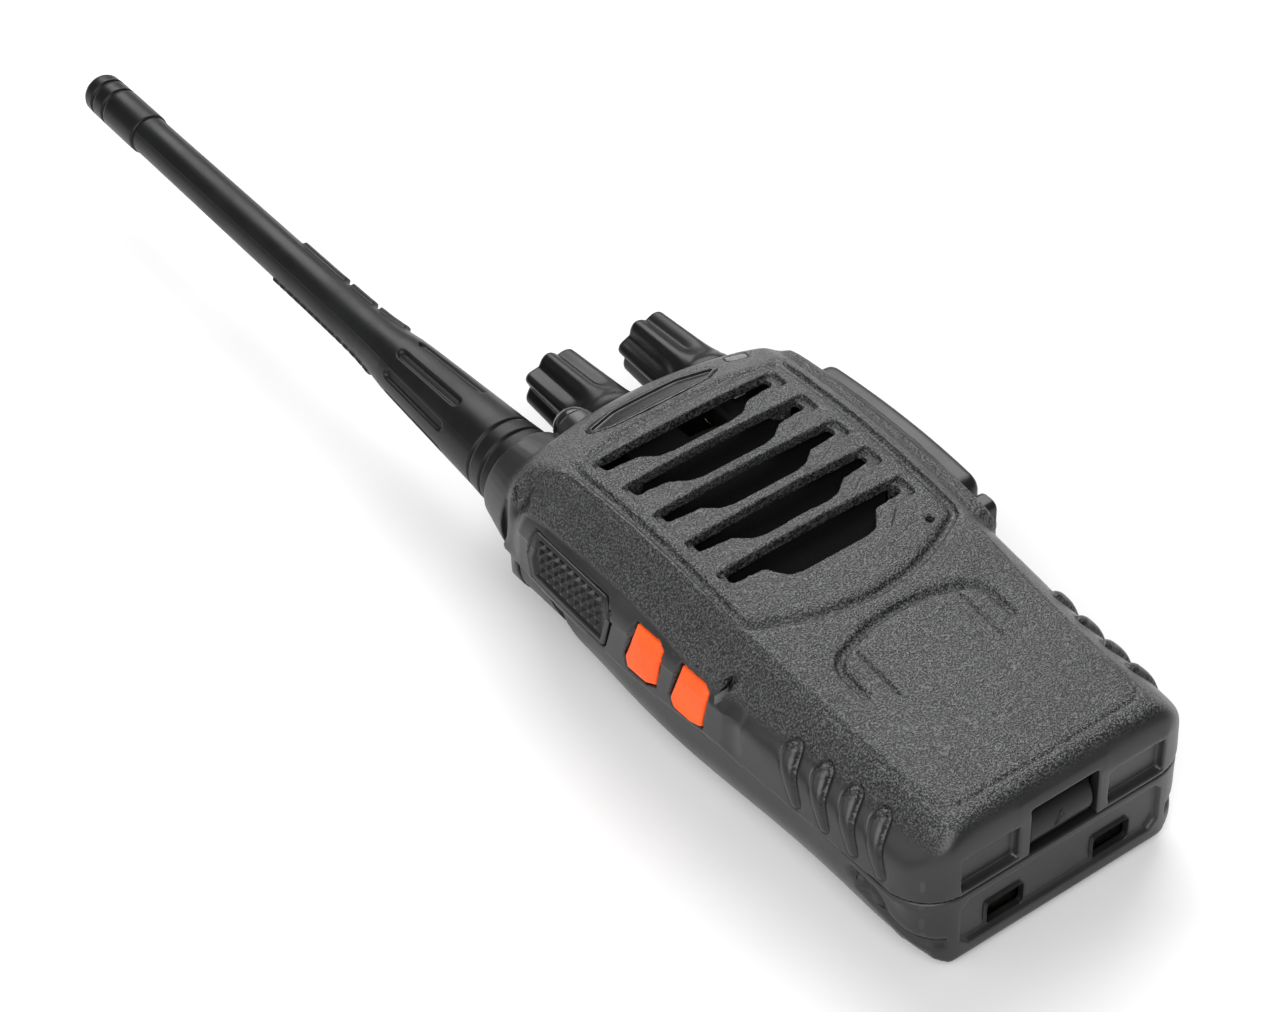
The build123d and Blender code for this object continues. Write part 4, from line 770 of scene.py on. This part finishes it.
def turned(node, profile, relief=None):
    """A piece turned about the antenna's axis from (distance up, radius) pairs, with relief."""
    profile = np.array(profile, float)
    lengths = np.hypot(*np.diff(profile, axis=0).T)
    rows = [profile[:1]]
    for a, b, length in zip(profile, profile[1:], lengths):
        parts = max(1, int(np.ceil(length / 0.3)))
        rows.append(a + (b - a) * np.linspace(0, 1, parts + 1)[1:, None])
    rows = np.concatenate(rows)
    steps = 240
    turn = np.linspace(0, 2 * pi, steps, endpoint=False)
    up = np.repeat(rows[:, 0], steps)
    radius = np.repeat(rows[:, 1], steps)
    around = np.tile(turn, len(rows))
    if relief:
        radius = radius + relief(up, radius, around)
    across, out = ANTENNA_X + radius * np.cos(around), ANTENNA_Z + radius * np.sin(around)
    points = np.stack([across, up, out], axis=1)
    mesh = bpy.data.meshes.new(node + "_turned")
    k = np.arange(steps)
    quads = []
    for row in range(len(rows) - 1):
        low, high = row * steps, (row + 1) * steps
        quads.append(np.stack([low + k, low + (k + 1) % steps, high + (k + 1) % steps, high + k], axis=1))
    mesh.from_pydata(((points - BASE) * MM).tolist(), [], np.concatenate(quads)[:, ::-1].tolist())
    smooth_shade(mesh)
    mesh.materials.append(MATERIALS["antenna_rubber"])
    stand_for(link(bpy.data.objects.new(node + "_turned", mesh)), node)


def off_angle(around, degrees):
    """Angle from a direction about the antenna's axis, in radians."""
    return np.abs(np.angle(np.exp(1j * (around - radians(degrees)))))


def sheath_relief(up, radius, around):
    outer = (up > 104) & (radius > 3.3)
    relief = np.zeros(len(up))
    # eight long slots round the foot
    for k in range(8):
        across = off_angle(around, 109 + 45 * k) * radius
        end = np.clip(np.abs(up - 126.5) - 7.6, 0, None)
        relief -= 0.6 * smoothstep(0.95 - np.hypot(across, end), 0.0, 0.35)
    # raised bars along one side and a row of small teeth along the other
    side = smoothstep(0.24 - off_angle(around, 33), 0, 0.06)
    for low, high in ((141.0, 148.0), (149.5, 156.0), (157.5, 170.0)):
        relief += 0.6 * side * smoothstep(up, low, low + 0.4) * smoothstep(high - up, 0, 0.4)
    side = smoothstep(0.22 - off_angle(around, 213), 0, 0.06)
    tooth = np.abs(np.mod(up - 141.0, 2.1) - 1.05) < 0.7
    relief += 0.4 * side * tooth * (up > 141.0) * (up < 170.0)
    # faint moulding line
    relief += 0.05 * ridge(off_angle(around, 140) * radius, 0.1) * (up > 110)
    return relief * outer


turned(
    "antenna_sheath",
    [
        (139.0, 3.3), (110.0, 3.3), (110.0, 4.62), (101.6, 4.62), (101.6, 5.4), (100.0, 5.4), (100.0, 6.25),
        (103.2, 6.3), (103.7, 6.85), (105.9, 6.9), (106.1, 6.45), (106.35, 6.45), (106.6, 6.85),
        (109.2, 6.65), (109.4, 6.2), (109.65, 6.2), (109.9, 6.58), (116.0, 6.25), (125.0, 5.75),
        (134.0, 5.25), (137.0, 5.02), (139.5, 4.7), (142.0, 4.38), (145.0, 4.1), (150.0, 3.9),
        (160.0, 3.74), (190.0, 3.56), (214.5, 3.42), (214.55, 2.6), (219.0, 2.6),
    ],
    sheath_relief,
)
turned(
    "antenna_tip_cap",
    [
        (214.6, 2.6), (214.6, 3.5), (214.9, 3.7), (216.0, 3.72), (223.9, 3.7), (224.05, 3.36), (224.6, 3.36),
        (224.75, 3.68), (227.4, 3.66), (227.55, 3.3), (228.1, 3.3), (228.25, 3.64), (230.2, 3.56),
        (230.75, 3.3), (230.95, 2.8), (230.98, 1.4), (231.0, 0.01),
    ],
)

# ---- stage, lights, camera ----------------------------------------------------------------

floor_mesh = bpy.data.meshes.new("floor")
floor_mesh.from_pydata([(-4, -4, 0), (4, -4, 0), (4, 4, 0), (-4, 4, 0)], [], [(0, 1, 2, 3)])
paper = Shading("pale_floor")
tone = paper.blend(paper.spread(paper.noise(60.0, 3.0), 0.3, 0.7), (0.86, 0.86, 0.86), (0.9, 0.9, 0.9))
paper.set(Base_Color=tone, Roughness=0.75, Normal=paper.bump(paper.noise(1.5, 2.0), 0.01))
floor_mesh.materials.append(paper.material)
link(bpy.data.objects.new("floor", floor_mesh))

world = bpy.data.worlds.new("studio")
world.use_nodes = True
sky = world.node_tree.nodes["Background"]
sky.inputs["Color"].default_value = (1, 1, 1, 1)
sky.inputs["Strength"].default_value = 0.22
scene.world = world


def softbox(name, spot, aim, size, power):
    """A square soft light at spot, facing aim. Metres and watts."""
    light = bpy.data.lights.new(name, "AREA")
    light.shape = "RECTANGLE"
    light.size, light.size_y = size
    light.energy = power
    obj = link(bpy.data.objects.new(name, light))
    obj.location = spot
    obj.rotation_euler = (Vector(spot) - Vector(aim)).to_track_quat("Z", "Y").to_euler()


middle = (0.0, 0.04, 0.02)
softbox("key_behind", (0.46, 0.66, 0.78), middle, (1.0, 0.8), 13.0)
softbox("fill_front", (-0.75, -0.75, 0.95), middle, (1.2, 1.2), 20.0)
softbox("fill_left", (-1.0, 0.35, 0.6), middle, (0.8, 0.6), 2.5)

lens = bpy.data.cameras.new("camera")
lens.sensor_width = 36.0
lens.lens = 98.9227
camera = link(bpy.data.objects.new("camera", lens))
camera.location = (-0.234155, -0.270973, 0.375793)
camera.rotation_euler = Euler((radians(47.5321), radians(1.4956), radians(-36.7925)), "XYZ")
lens.clip_start = 0.01
scene.camera = camera
scene.view_settings.view_transform = "Standard"
